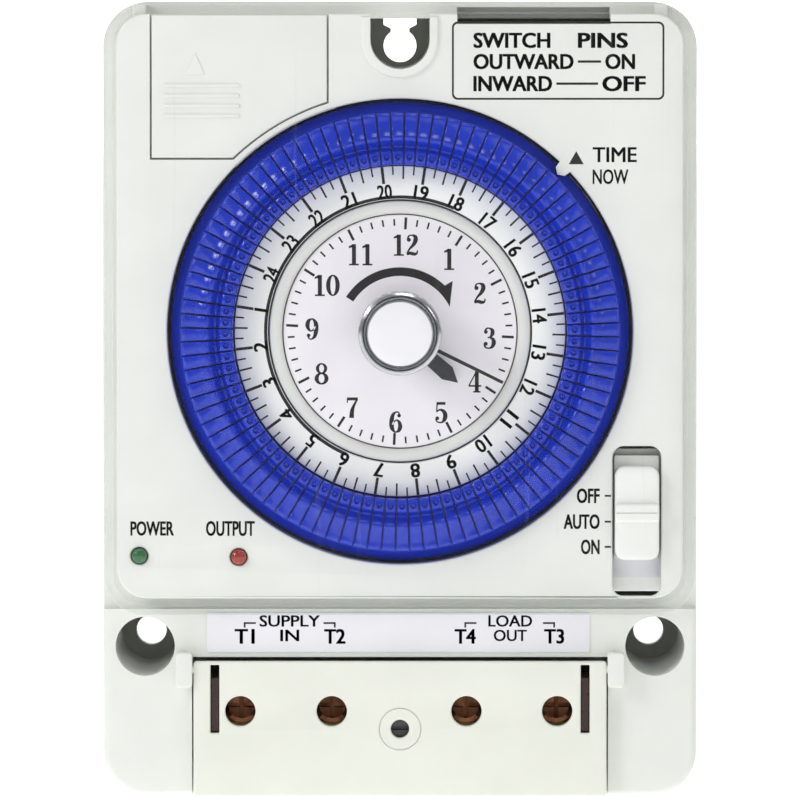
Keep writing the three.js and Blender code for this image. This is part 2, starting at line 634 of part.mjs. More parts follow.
const CARRIER = { z0: 37.2, floor: 41.2, track: 44.4, trackInner: 28.1, rim: 38.3 };
const TAPPET = { gap: 0.26, underside: 44.7, leg: [32.2, 33.8], legEnd: 33.6, travel: 1.6 };

// A tappet's head from the side, as points of radius and height.
const TAPPET_SIDE = [
  [28.05, TAPPET.underside],
  [28.05, 46.3],
  [28.35, 46.85],
  [29, 47],
  [30.2, 46.9],
  [30.6, 46.5],
  [31.2, 46.7],
  [31.9, 47.6],
  [32.6, 47.9],
  [33.4, 47.6],
  [36.5, 46.9],
  [36.9, 46.4],
  [36.9, TAPPET.underside],
];
// The same with fewer points, for the tappets that are joined in one piece.
const BANK_SIDE = TAPPET_SIDE.filter((_, i) => [0, 3, 8, 12].includes(i));

/** A wedge between two tappet gaps, pointing along +y, from its side outline. */
function wedge(side) {
  const halfAt = (r) => r * Math.tan(rad(DIAL_STEP / 2)) - TAPPET.gap / 2;
  const outline = side.map(([r, z]) => new THREE.Vector2(r, z));
  const count = side.length;
  const points = [-1, 1].flatMap((way) => side.map(([r, z]) => [way * halfAt(r), r, z]));
  const triangles = [];
  for (const [a, b, c] of THREE.ShapeUtils.triangulateShape(outline, [])) {
    triangles.push([a, c, b], [a + count, b + count, c + count]);
  }
  for (let i = 0; i < count; i++) {
    const j = (i + 1) % count;
    triangles.push([i, i + count, j], [j, i + count, j + count]);
  }
  const geometry = new THREE.BufferGeometry()
    .setAttribute("position", new THREE.Float32BufferAttribute(points.flat(), 3))
    .setIndex(triangles.flat());
  return solid(geometry);
}

/** Clock angle of the middle of a tappet, in degrees clockwise from the top. */
const tappetAngle = (k) => DIAL.phase + DIAL_STEP * (k + 0.5);

// The tappets that are separate pieces, counted clockwise from the sixteen-hour mark.
const LOOSE_TAPPETS = [2, 3, 4, 5, 6, 7, 8, 9];

function looseTappet(k) {
  const leg = box(-0.45, 0.45, ...TAPPET.leg, TAPPET.legEnd, TAPPET.underside + 0.3);
  return onDial(join(wedge(TAPPET_SIDE), leg).rotate([0, 0, -tappetAngle(k)]));
}

/** The remaining tappets, joined by a strip under their heads. */
function tappetBank() {
  const one = wedge(BANK_SIDE);
  const bank = [...Array(DIAL.tappets).keys()].filter((k) => !LOOSE_TAPPETS.includes(k));
  const start = rad(90 - tappetAngle(LOOSE_TAPPETS[0] - 0.56));
  const end = rad(90 - tappetAngle(LOOSE_TAPPETS.at(-1) + 0.56)) + 2 * Math.PI;
  const strip = new THREE.Shape();
  strip.absarc(0, 0, 34.2, start, end, false);
  strip.absarc(0, 0, 32.2, end, start, true);
  strip.closePath();
  const heads = bank.map((k) => one.rotate([0, 0, -tappetAngle(k)]));
  return onDial(join(plate(strip, TAPPET.underside, TAPPET.underside + 0.6, 48), heads));
}

/** The wheel that carries the dial and the tappets: an internal gear with a raised track. */
function dialCarrier() {
  const { z0, floor, track, trackInner, rim } = CARRIER;
  const profile = [
    [22, z0],
    [rim, z0],
    [rim, floor + 0.8],
    [rim - 1.3, track - 1.2],
    [rim - 1.3, track],
    [trackInner, track],
    [trackInner, floor],
    [22, floor],
    [22, z0],
  ];
  const skirt = tube(30.3, 28.8, 32, z0 + 0.2, 0, 0, 48);
  const teeth = plate(toothOutline(RING.ring, RING.module, ringPhase, true), z0 - 1, floor + 1);
  const [legInner, legOuter] = TAPPET.leg;
  const slots = LOOSE_TAPPETS.map((k) => {
    const slot = box(-0.75, 0.75, legInner - RUN, legOuter + TAPPET.travel + RUN, z0 - 1, track + 1);
    return slot.rotate([0, 0, -tappetAngle(k)]);
  });
  return onDial(cut(join(turned(profile, DIAL_SEGMENTS), skirt), teeth, slots));
}

function dialPlate() {
  return onDial(tube(27.8, 22.2, CARRIER.floor + GAP, 43, 0, 0, DIAL_SEGMENTS));
}

// ---------------------------------------------------------------- clock face, hands and knob

/** The clock face on its three posts; the dial drive wheel turns on a stud behind it. */
function clockFace() {
  const disc = cut(rod(19.6, 41.5, 42.7, 0, 0, 48), rod(2.5, 41, 43, 0, 0, 14));
  const posts = [60, 150, 215].map((angle) =>
    rod(1.2, PLATES.front[1] + GAP, 41.6, 0, 0, 12).translate([...away(16.5, rad(angle)), 0]),
  );
  const dialDriveStud = rod(0.8, 35.2, 41.6, ...dialDriveAt, 12);
  return onDial(join(disc, posts, dialDriveStud));
}

function faceRing() {
  const profile = [
    [19.8, 41.5],
    [21.9, 41.5],
    [21.9, 42.6],
    [21.5, 43.2],
    [20.6, 43.4],
    [19.8, 42.9],
    [19.8, 41.5],
  ];
  return onDial(turned(profile, 48));
}

const HOUR_ANGLE = 131.4;
const MINUTE_ANGLE = 116.1;

function hourHand() {
  const blade = new THREE.Shape();
  blade.moveTo(-1.05, 2);
  blade.lineTo(1.05, 2);
  blade.lineTo(1.05, 10.6);
  blade.lineTo(0, 12.9);
  blade.lineTo(-1.05, 10.6);
  blade.closePath();
  const hub = rod(3.2, 44, 44.6, 0, 0, 18);
  const body = cut(join(hub, plate(blade, 44, 44.6)), rod(2.2, 43, 46, 0, 0, 14));
  return onDial(body.rotate([0, 0, -HOUR_ANGLE]));
}

function minuteHand() {
  const blade = new THREE.Shape();
  blade.moveTo(-0.42, 0);
  blade.lineTo(0.42, 0);
  blade.lineTo(0.25, 19.2);
  blade.lineTo(-0.25, 19.2);
  blade.closePath();
  const hub = rod(2.6, 46.4, 46.9, 0, 0, 16);
  const body = cut(join(hub, plate(blade, 46.4, 46.9)), rod(1.1, 46, 48, 0, 0, 12));
  return onDial(body.rotate([0, 0, -MINUTE_ANGLE]));
}

const KNOB = { radius: 7, cap: 5.45, z0: 47.6, z1: 54.4 };

function settingKnob() {
  const { radius, cap, z0, z1 } = KNOB;
  const bore = 1.1;
  const profile = [
    [bore, z0],
    [radius - 0.2, z0],
    [radius, z0 + 0.4],
    [radius, z1 - 1.3],
    [radius - 0.5, z1 - 0.7],
    [cap + 0.35, z1],
    [cap + 0.1, z1],
    [cap + 0.1, z1 - 1.6],
    [bore, z1 - 1.6],
    [bore, z0],
  ];
  return onDial(turned(profile));
}

function knobCap() {
  const { cap, z1 } = KNOB;
  const profile = [
    [0, z1 - 1.1],
    [1.3, z1 - 1.1],
    [1.3, z1 - 1.5],
    [cap, z1 - 1.5],
    [cap, z1 - 0.2],
    [cap - 0.2, z1],
    [0, z1],
  ];
  return onDial(turned(profile));
}

// ---------------------------------------------------------------- switching parts

const leverTop = 37.6;

const LEVER = { pivot: [38.4, 31.2], tip: [24.6, 36.2], push: 30.4, z: [33, 35.6] };

/** The lever that feels the tappets' legs and presses the switch. */
function followerLever() {
  const [z0, z1] = LEVER.z;
  const [px, py] = LEVER.pivot;
  const [tx, ty] = LEVER.tip;
  const arm = new THREE.Shape();
  arm.moveTo(px - 0.4, py - 2);
  arm.lineTo(px + 1.4, py + 1.6);
  arm.lineTo(LEVER.push + 1.6, leverTop);
  arm.lineTo(LEVER.push - 1.6, leverTop);
  arm.lineTo(tx + 0.8, ty + 1.4);
  arm.absarc(tx + 0.35, ty + 0.4, 0.75, rad(100), rad(270));
  arm.closePath();
  const hub = rod(2.4, z0, z1, px, py);
  return cut(join(plate(arm, z0, z1, 4), hub), rod(1.35, z0 - 1, z1 + 1, px, py, 16));
}

function microswitch() {
  const body = box(27.6, 41, 39.4, 46.4, PLATES.front[1] + GAP, 37.6);
  const tags = [29.6, 34.2, 38.8].map((x) => box(x - 0.9, x + 0.9, 46.2, 49.8, 34, 34.6));
  const plungerHole = box(LEVER.push - 1, LEVER.push + 1, 38.8, 43.6, 33.4, 35.4);
  return cut(join(body, tags), plungerHole);
}

function switchPlunger() {
  return box(LEVER.push - 0.7, LEVER.push + 0.7, leverTop + RUN, 42.2, 33.7, 35.1);
}

function circuitBoard() {
  const board = plate(roundedRectangle(-46, 46, -32.4, -8.4, 3.5), 33.4, 35);
  const dialRoom = onDial(rod(DIAL.opening + 1.7, 30, 40, 0, 0, DIAL_SEGMENTS));
  const bossRoom = CASE_SCREWS.map(([x, y]) => rod(3.4, 30, 40, x, y, 10));
  return cut(board, dialRoom, bossRoom);
}

function relay() {
  const body = box(-45, -30.4, -31.6, -12.6, 17.6, 33.2);
  const ledges = box(-45.4, -30, -32, -12.2, 32.2, 33.3);
  return join(body, ledges);
}

function capacitor() {
  return join(rod(5, 20.4, 33.2, 38.6, -26.4, 20), rod(4.4, 19.6, 20.6, 38.6, -26.4, 20));
}

/** The slide switch under the mode slider. */
function slideSwitch() {
  const { x, y, height } = SWITCH;
  const body = box(x - 4.9, x + 4.9, y - height / 2 + 0.6, y + height / 2 - 0.6, 35.1, 40);
  const groove = box(x - 1.2, x + 1.2, y - 8.2, y + 7.4, 37, 41);
  return cut(body, groove);
}

/** The mode slider, standing a little above its middle position. */
function modeSlider() {
  const { x, y } = SWITCH;
  const base = box(x - 3.8, x + 3.8, y - 6.4, y + 11, 40.5, PANEL.z - PANEL.thick - RUN);
  const key = box(x - 0.9, x + 0.9, y - 2.2, y + 2.2, 37.6, 40.7);
  const thumb = plate(roundedRectangle(x - 3.7, x + 3.7, y - 6.4, y + 9.3, 1.7), 42, 46.4);
  const ridge = box(x - 3.7, x + 3.7, y, y + 3.1, 46.2, 47.4);
  return join(base, key, thumb, ridge);
}

function lamp([x, y]) {
  const r = LAMP_RADIUS - 0.15;
  const profile = [
    [0, 35.2],
    [r + 0.5, 35.2],
    [r + 0.5, 36.2],
    [r, 36.2],
    [r, 44.3],
    [r * 0.9, 44.9],
    [r * 0.6, 45.3],
    [0, 45.5],
  ];
  return turned(profile, 12).translate([x, y, 0]);
}

function backupBattery() {
  const cell = pinAlongX(5.9, -39.4, -16.2, 52, 33.6, 20);
  return cell.add(pinAlongX(1.8, -16.4, -14.9, 52, 33.6, 12));
}

/** A cradle for the battery, clipped under the panel. */
function batteryCradle() {
  const block = box(-40.8, -13.6, 44.6, 59.4, 25.6, 33);
  const seat = pinAlongX(6.2, -39.8, -14.6, 52, 33.6, 20);
  return cut(block, seat);
}

// ---------------------------------------------------------------- assembly

const COLOURS = {
  casing: { color: 0xe2e8de, roughness: 0.45 },
  panel: { color: 0xe0e6de, roughness: 0.45 },
  terminalCover: { color: 0xe6e7dc, roughness: 0.5 },
  clear: { color: 0xf4f8f8, roughness: 0.05, transparent: true, opacity: 0.2 },
  label: { color: 0xe4e2ec, roughness: 0.6 },
  blue: { color: 0x1f3fae, roughness: 0.3 },
  dial: { color: 0xe6ebe6, roughness: 0.5 },
  face: { color: 0xeae6ee, roughness: 0.5 },
  ring: { color: 0xd6d7cf, roughness: 0.35 },
  black: { color: 0x1b1c1e, roughness: 0.4 },
  knob: { color: 0xdfe3e6, roughness: 0.1 },
  cap: { color: 0xefeff1, roughness: 0.4 },
  slider: { color: 0xe9ede4, roughness: 0.4 },
  switchGrey: { color: 0xc6cdc4, roughness: 0.5 },
  brown: { color: 0x3a1f16, roughness: 0.4 },
  brass: { color: 0xb08d4a, roughness: 0.3, metalness: 1 },
  steel: { color: 0xb9bcc0, roughness: 0.35, metalness: 1 },
  board: { color: 0x1e5c34, roughness: 0.5 },
  green: { color: 0x2f7d3f, roughness: 0.15 },
  red: { color: 0xa8281f, roughness: 0.15 },
  battery: { color: 0x2f7f4a, roughness: 0.35 },
  nylon: { color: 0xeceade, roughness: 0.5 },
};

const pieces = [
  ["rear_case", rearCase(), "casing"],
  ["front_panel", frontPanel(), "panel"],
  ["clear_cover", clearCover(), "clear"],
  ["battery_door", batteryDoor(), "panel"],
  ["terminal_cover", terminalCover(), "terminalCover"],
  ["cover_screw", coverScrew(), "steel"],
  ["terminal_label", terminalLabel(), "label"],
  ["terminal_block", terminalBlock(), "brown"],
  ...TERMINAL_X.map((x, i) => [`terminal_plate_${i + 1}`, terminalPlate(x), "brass"]),
  ...TERMINAL_X.map((x, i) => [`terminal_screw_${i + 1}`, terminalScrew(x), "brass"]),
  ...CASE_SCREWS.map((at, i) => [`case_screw_${i + 1}`, caseScrew(at), "steel"]),
  ["movement_back_plate", backPlate(), "brass"],
  ["movement_front_plate", frontPlate(), "brass"],
  ["motor", motor(), "steel"],
  ["motor_pinion", motorPinion(), "brass"],
  ["third_wheel", thirdWheel(), "brass"],
  ["centre_wheel", centreWheel(), "brass"],
  ["centre_arbor", centreArbor(), "steel"],
  ["minute_wheel", minuteWheel(), "nylon"],
  ["hour_wheel", hourWheel(), "nylon"],
  ["dial_drive_wheel", dialDriveWheel(), "nylon"],
  ["dial_carrier", dialCarrier(), "blue"],
  ["dial_plate", dialPlate(), "dial"],
  ["tappet_bank", tappetBank(), "blue"],
  ...LOOSE_TAPPETS.map((k, i) => [`tappet_${i + 1}`, looseTappet(k), "blue"]),
  ["clock_face", clockFace(), "face"],
  ["face_ring", faceRing(), "ring"],
  ["hour_hand", hourHand(), "black"],
  ["minute_hand", minuteHand(), "black"],
  ["setting_knob", settingKnob(), "knob"],
  ["knob_cap", knobCap(), "cap"],
  ["follower_lever", followerLever(), "steel"],
  ["microswitch", microswitch(), "black"],
  ["switch_plunger", switchPlunger(), "red"],
  ["circuit_board", circuitBoard(), "board"],
  ["relay", relay(), "black"],
  ["capacitor", capacitor(), "battery"],
  ["slide_switch", slideSwitch(), "switchGrey"],
  ["mode_slider", modeSlider(), "slider"],
  ["power_lamp", lamp(LAMPS.power), "green"],
  ["output_lamp", lamp(LAMPS.output), "red"],
  ["backup_battery", backupBattery(), "battery"],
  ["battery_cradle", batteryCradle(), "panel"],
];

const timeSwitch = new THREE.Group();
for (const [name, body, colour] of pieces) {
  const mesh = new THREE.Mesh(geometryOf(body), new THREE.MeshStandardMaterial(COLOURS[colour]));
  mesh.name = name;
  timeSwitch.add(mesh);
}
timeSwitch.rotation.x = Math.PI / 2;

export default timeSwitch;
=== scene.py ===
"""Looks of a wall-mounted 24-hour time switch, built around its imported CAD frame.

Shapes are drawn in the plane of the clock face, in millimetres: x to the right, y up and z out from
the wall. UPRIGHT turns them into the frame, where the dial faces -Y and +Z is up the wall.
"""

import math

import bmesh
import bpy
from mathutils import Matrix, Vector


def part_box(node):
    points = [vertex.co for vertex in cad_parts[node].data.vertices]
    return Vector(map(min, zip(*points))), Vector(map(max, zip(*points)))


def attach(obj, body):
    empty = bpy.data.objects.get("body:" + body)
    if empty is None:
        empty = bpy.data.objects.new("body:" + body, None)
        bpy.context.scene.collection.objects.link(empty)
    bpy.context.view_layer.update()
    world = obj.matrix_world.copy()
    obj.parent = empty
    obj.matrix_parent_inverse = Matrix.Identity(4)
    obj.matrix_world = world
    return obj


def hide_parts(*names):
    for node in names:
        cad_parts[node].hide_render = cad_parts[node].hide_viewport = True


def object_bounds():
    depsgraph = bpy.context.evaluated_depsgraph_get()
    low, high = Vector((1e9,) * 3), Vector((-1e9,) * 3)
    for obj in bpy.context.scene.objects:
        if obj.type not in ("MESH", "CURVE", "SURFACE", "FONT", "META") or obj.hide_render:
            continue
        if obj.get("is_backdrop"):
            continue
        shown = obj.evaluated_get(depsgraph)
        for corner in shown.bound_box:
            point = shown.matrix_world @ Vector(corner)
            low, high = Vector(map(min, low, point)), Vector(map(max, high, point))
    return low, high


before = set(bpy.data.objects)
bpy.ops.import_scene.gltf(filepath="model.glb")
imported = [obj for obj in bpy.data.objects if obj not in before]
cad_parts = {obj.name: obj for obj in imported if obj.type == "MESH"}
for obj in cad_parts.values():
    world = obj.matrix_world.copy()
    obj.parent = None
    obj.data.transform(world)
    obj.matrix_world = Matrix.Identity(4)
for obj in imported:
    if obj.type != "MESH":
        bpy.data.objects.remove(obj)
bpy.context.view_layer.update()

MM = 0.001
UPRIGHT = Matrix.Scale(MM, 4) @ Matrix.Rotation(math.pi / 2, 4, "X")


def face_box(node):
    """A CAD node's box in the drawing plane, in mm: x0, x1, y0, y1, z0, z1."""
    low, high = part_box(node)
    return low.x / MM, high.x / MM, low.z / MM, high.z / MM, -high.y / MM, -low.y / MM


# ------------------------------------------------------------------ places taken from the frame

CASE_X = face_box("rear_case")[1]
CASE_Y = face_box("rear_case")[3]
CASE_CORNER = 7.6
CASE_WALL = 2.8
DECK_Z = 40.0  # front of the terminal deck
DECK_TOP = -35.3
RIM_Z = 38.0  # rim that the front panel and the clear cover stand on

PANEL_X = face_box("front_panel")[1]
PANEL_LOW = face_box("front_panel")[2]
PANEL_HIGH = face_box("front_panel")[3]
PANEL_Z = 44.5
PANEL_THICK = 2.0

COVER_X = 49.2
COVER_LOW, COVER_HIGH = face_box("clear_cover")[2:4]
COVER_Z = face_box("clear_cover")[5]

DIAL = Vector((0.0, (face_box("dial_plate")[2] + face_box("dial_plate")[3]) / 2))
DIAL_OPENING = 39.1
DIAL_Z = face_box("dial_plate")[5]
FACE_Z = face_box("clock_face")[5]
TAPPETS = 96
TAPPET_STEP = 360 / TAPPETS
DIAL_PHASE = 53.7  # clock angle of the sixteen-hour mark
FACE_TURN = 3.0  # the clock face stands a little clockwise of upright
POINTER = 45.0  # clock angle of the panel's tongue
FIRST_LOOSE, LAST_LOOSE = 2, 9  # the tappets that slide, counted clockwise from the sixteen-hour mark

SWITCH = Vector((39.8, -20.2))
WINDOW = Vector((8.2, 25.3))
SLOT = (9.6, 35.3)  # left and right end of the slot in the panel's top edge
LAMPS = {"power_lamp": Vector((-43.8, -26.0)), "output_lamp": Vector((-27.1, -26.2))}
LAMP_R = 1.45

WELL_Y = 60.7
WELL_R = 5.0
FIXINGS = (Vector((-43.0, -41.6)), Vector((43.0, -41.6)))
CASE_SCREWS = [Vector((x, y)) for x in (-44.4, 44.4) for y in (34.0, -2.0)]

LID_LOW, LID_HIGH = face_box("terminal_cover")[2:4]
LID_Z = face_box("terminal_cover")[5]
LID_HALF = 34.8
LID_THICK = 1.8
SCREW_X = [sum(face_box(f"terminal_screw_{i}")[:2]) / 2 for i in (1, 2, 3, 4)]
SCREW_Y = -52.4
LID_SCREW_Y = -55.4
LID_SLOT_X = 31.2
HINGE_EAR = (35.0, 37.8, -48.4, -42.5)
HINGE_Y = -45.4
INK = 0.012  # half the height of a print, which is sunk by the other half
HOUR_ANGLE = 131.4
MINUTE_ANGLE = 116.1

# ------------------------------------------------------------------ outlines in the plane


def polar(radius, clock_angle):
    """A point at a clock angle, in degrees clockwise from the top."""
    a = math.radians(clock_angle)
    return Vector((radius * math.sin(a), radius * math.cos(a)))


def arc(centre, radius, start, end, steps):
    """Points along a circle between two clock angles."""
    return [Vector(centre) + polar(radius, start + (end - start) * i / steps) for i in range(steps + 1)]


def circle(centre, radius, steps=64):
    return arc(centre, radius, 0, 360 - 360 / steps, steps - 1)


def rounded(x0, x1, y0, y1, radius, steps=10):
    """A rectangle with round corners, clockwise from the left end of its top edge."""
    corners = (
        (x0 + radius, y1 - radius, 270),
        (x1 - radius, y1 - radius, 0),
        (x1 - radius, y0 + radius, 90),
        (x0 + radius, y0 + radius, 180),
    )
    return [p for x, y, start in corners for p in arc((x, y), radius, start, start + 90, steps)]


def moved(points, offset=(0, 0), turn=0.0, scale=1.0):
    """Points scaled, turned clockwise by an angle in degrees, and then shifted."""
    a = math.radians(-turn)
    c, s = math.cos(a) * scale, math.sin(a) * scale
    return [Vector((c * p[0] - s * p[1] + offset[0], s * p[0] + c * p[1] + offset[1])) for p in points]


# ------------------------------------------------------------------ making meshes


def put(name, mesh):
    thing = bpy.data.objects.new(name, mesh)
    bpy.context.scene.collection.objects.link(thing)
    return thing


def settle(thing):
    """Applies an object's modifiers, or turns a curve into a mesh object."""
    name = thing.name
    evaluated = thing.evaluated_get(bpy.context.evaluated_depsgraph_get())
    mesh = bpy.data.meshes.new_from_object(evaluated)
    mesh.transform(thing.matrix_world)
    bpy.data.objects.remove(thing)
    fresh = put(name, mesh)
    fresh.name = name
    return fresh


def weld(thing, distance=1e-4):
    work = bmesh.new()
    work.from_mesh(thing.data)
    bmesh.ops.remove_doubles(work, verts=work.verts, dist=distance)
    bmesh.ops.recalc_face_normals(work, faces=work.faces)
    work.to_mesh(thing.data)
    work.free()
    return thing


def plate(name, outlines, z0, z1, rounding=0.0, steps=2):
    """A flat plate with holes, its edges rounded, from closed outlines in the plane."""
    curve = bpy.data.curves.new(name, "CURVE")
    curve.dimensions = "2D"
    curve.fill_mode = "BOTH"
    curve.extrude = (z1 - z0) / 2 - rounding
    curve.bevel_depth = rounding
    curve.bevel_resolution = steps
    curve.offset = -rounding
    for outline in outlines:
        spline = curve.splines.new("POLY")
        spline.points.add(len(outline) - 1)
        for point, (x, y) in zip(spline.points, outline):
            point.co = (x, y, 0, 1)
        spline.use_cyclic_u = True
    thing = put(name, curve)
    thing.location.z = (z0 + z1) / 2
    bpy.context.view_layer.update()
    return weld(settle(thing))


def block(name, x0, x1, y0, y1, z0, z1, rounding=0.0, corner=0.0):
    corner = max(corner, 0.02)
    return plate(name, [rounded(x0, x1, y0, y1, corner, 6 if corner > 0.1 else 1)], z0, z1, rounding)


def lathe(name, profile, centre=(0, 0), segments=96):
    """A closed profile of (radius, z) points turned about z; points at radius 0 lie on the axis."""
    work = bmesh.new()
    rings = []
    for radius, z in profile:
        if radius < 1e-6:
            rings.append([work.verts.new((centre[0], centre[1], z))] * segments)
            continue
        spots = [polar(radius, 360 * i / segments) for i in range(segments)]
        rings.append([work.verts.new((p.x + centre[0], p.y + centre[1], z)) for p in spots])
    for near, far in zip(rings, rings[1:] + rings[:1]):
        for i in range(segments):
            j = (i + 1) % segments
            corners = list(dict.fromkeys((near[i], near[j], far[j], far[i])))
            if len(corners) > 2:
                work.faces.new(corners)
    bmesh.ops.recalc_face_normals(work, faces=work.faces)
    mesh = bpy.data.meshes.new(name)
    work.to_mesh(mesh)
    work.free()
    return put(name, mesh)


def rod(name, radius, z0, z1, centre=(0, 0), segments=48, rounding=0.0):
    r = rounding
    if r:
        turn = [(radius - r + r * math.sin(a), z1 - r + r * math.cos(a)) for a in (0, 0.52, 1.05, 1.57)]
        profile = [(0, z0), (radius, z0)] + turn[::-1] + [(0, z1)]
    else:
        profile = [(0, z0), (radius, z0), (radius, z1), (0, z1)]
    return lathe(name, profile, centre, segments)


def combine(target, tools, operation):
    """A boolean of an object with others, which it uses up."""
    for tool in tools:
        step = target.modifiers.new("step", "BOOLEAN")
        step.operation = operation
        step.solver = "MANIFOLD"
        step.object = tool
    result = settle(target)
    for tool in tools:
        bpy.data.objects.remove(tool)
    return result


def cut(target, *tools):
    return combine(target, tools, "DIFFERENCE")


def fuse(target, *tools):
    return combine(target, tools, "UNION")


def gather(name, things):
    """Several mesh objects as one object, their solids kept apart."""
    work = bmesh.new()
    for thing in things:
        work.from_mesh(thing.data)
        bpy.data.objects.remove(thing)
    mesh = bpy.data.meshes.new(name)
    work.to_mesh(mesh)
    work.free()
    return put(name, mesh)


def copies(name, thing, turns, centre):
    """Copies of an object turned about a point by clock angles, gathered in one object."""
    work = bmesh.new()
    hub = Matrix.Translation((centre[0], centre[1], 0))
    for turn in turns:
        mesh = thing.data.copy()
        mesh.transform(hub @ Matrix.Rotation(math.radians(-turn), 4, "Z") @ hub.inverted())
        work.from_mesh(mesh)
        bpy.data.meshes.remove(mesh)
    mesh = bpy.data.meshes.new(name)
    work.to_mesh(mesh)
    work.free()
    return put(name, mesh)


def piece(thing, body, surface, *nodes, slot=None, bevel=0.0, bevel_steps=2, angle=32):
    """Stands a finished shape in the frame, gives it its surface and ties it to its body."""
    thing.data.transform(UPRIGHT)
    thing.data.materials.clear()
    thing.data.materials.append(surface)
    thing.data.shade_smooth()
    thing.data.set_sharp_from_angle(angle=math.radians(angle))
    if bevel:
        soften(thing, bevel, bevel_steps)
    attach(thing, body)
    if nodes:
        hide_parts(*nodes)
    return thing


def soften(thing, width, steps=2):
    """Rounds an object's sharp edges by a width in mm."""
    edge = thing.modifiers.new("edges", "BEVEL")
    edge.width = width * MM
    edge.segments = steps
    edge.limit_method = "ANGLE"
    edge.angle_limit = math.radians(35)
    edge.harden_normals = True
    edge.use_clamp_overlap = True


# ------------------------------------------------------------------ surfaces


class Surface:
    """A Principled material and short ways to add procedural detail to it, in object space."""

    def __init__(self, name, colour, roughness, **sockets):
        self.material = bpy.data.materials.new(name)
        self.material.use_nodes = True
        self.tree = self.material.node_tree
        self.shader = self.tree.nodes["Principled BSDF"]
        self.colour = colour
        self.shader.inputs["Base Color"].default_value = (*colour, 1)
        self.shader.inputs["Roughness"].default_value = roughness
        for socket, value in sockets.items():
            self.shader.inputs[socket.replace("_", " ")].default_value = value
        self.place = self.tree.nodes.new("ShaderNodeTexCoord").outputs["Object"]
        self.normal = None

    def node(self, kind, **settings):
        made = self.tree.nodes.new(kind)
        for key, value in settings.items():
            setattr(made, key, value)
        return made

    def link(self, source, target):
        self.tree.links.new(source, target)

    def noise(self, scale, detail=3.0, stretch=(1, 1, 1), distortion=0.0):
        mapping = self.node("ShaderNodeMapping")
        mapping.inputs["Scale"].default_value = stretch
        self.link(self.place, mapping.inputs["Vector"])
        made = self.node("ShaderNodeTexNoise")
        made.inputs["Scale"].default_value = scale
        made.inputs["Detail"].default_value = detail
        made.inputs["Distortion"].default_value = distortion
        self.link(mapping.outputs["Vector"], made.inputs["Vector"])
        return made.outputs["Fac"]

    def ramp(self, source, stops):
        made = self.node("ShaderNodeValToRGB")
        while len(made.color_ramp.elements) < len(stops):
            made.color_ramp.elements.new(0.5)
        for element, (place, colour) in zip(made.color_ramp.elements, stops):
            element.position = place
            element.color = (*colour, 1) if len(colour) == 3 else colour
        self.link(source, made.inputs["Fac"])
        return made.outputs["Color"]

    def spread(self, source, low, high, from_low=0.3, from_high=0.7):
        made = self.node("ShaderNodeMapRange")
        for key, value in zip(("From Min", "From Max", "To Min", "To Max"), (from_low, from_high, low, high)):
            made.inputs[key].default_value = value
        self.link(source, made.inputs["Value"])
        return made.outputs["Result"]

    def mottle(self, scale, dark, light, stretch=(1, 1, 1)):
        """Varies the base colour between two shades of it."""
        shades = [tuple(min(1.0, c * f) for c in self.colour) for f in (dark, light)]
        noise = self.noise(scale, 5, stretch)
        self.link(self.ramp(noise, [(0.32, shades[0]), (0.68, shades[1])]), self.shader.inputs["Base Color"])
        return self

    def sheen_range(self, scale, low, high, stretch=(1, 1, 1)):
        """Varies the roughness."""
        self.link(self.spread(self.noise(scale, 4, stretch), low, high), self.shader.inputs["Roughness"])
        return self

    def grain(self, scale, depth, strength=0.4, detail=2.0, stretch=(1, 1, 1)):
        """Adds a fine relief, its depth in mm."""
        bump = self.node("ShaderNodeBump")
        bump.inputs["Strength"].default_value = strength
        bump.inputs["Distance"].default_value = depth * MM
        self.link(self.noise(scale, detail, stretch), bump.inputs["Height"])
        if self.normal is not None:
            self.link(self.normal, bump.inputs["Normal"])
        self.normal = bump.outputs["Normal"]
        self.link(self.normal, self.shader.inputs["Normal"])
        return self


def moulded(name, colour, roughness=0.42, grain=0.02, **sockets):
    """Moulded plastic: fine spark-eroded grain, a faint flow mottle and uneven gloss."""
    surface = Surface(name, colour, roughness, **sockets)
    surface.mottle(90, 0.975, 1.02)
    surface.sheen_range(400, roughness - 0.05, roughness + 0.07)
    surface.grain(5200, grain)
    surface.grain(300, grain * 1.5, 0.25)
    return surface.material


def glossy(name, colour, roughness=0.2, **sockets):
    """Smooth plastic with slight waves and handling marks."""
    surface = Surface(name, colour, roughness, **sockets)
    surface.mottle(160, 0.92, 1.06)
    surface.sheen_range(700, roughness * 0.8, roughness * 1.35)
    surface.grain(260, 0.012, 0.35)
    return surface.material


def metal(name, colour, roughness, stretch=(1, 1, 1), grain=0.004, scale=1800):
    """Metal with drawing or brushing lines along the axis that stretch shrinks."""
    surface = Surface(name, colour, roughness, Metallic=1.0)
    surface.mottle(120, 0.85, 1.05)
    surface.sheen_range(scale / 3, roughness * 0.75, roughness * 1.5, stretch)
    surface.grain(scale, grain, 0.5, 3.0, stretch)
    return surface.material


def printed(name, colour, roughness=0.55):
    """Screen-printed ink, a little uneven."""
    surface = Surface(name, colour, roughness)
    surface.mottle(900, 0.7, 1.5)
    surface.sheen_range(1500, roughness - 0.08, roughness + 0.1)
    surface.grain(3500, 0.006, 0.4)
    return surface.material


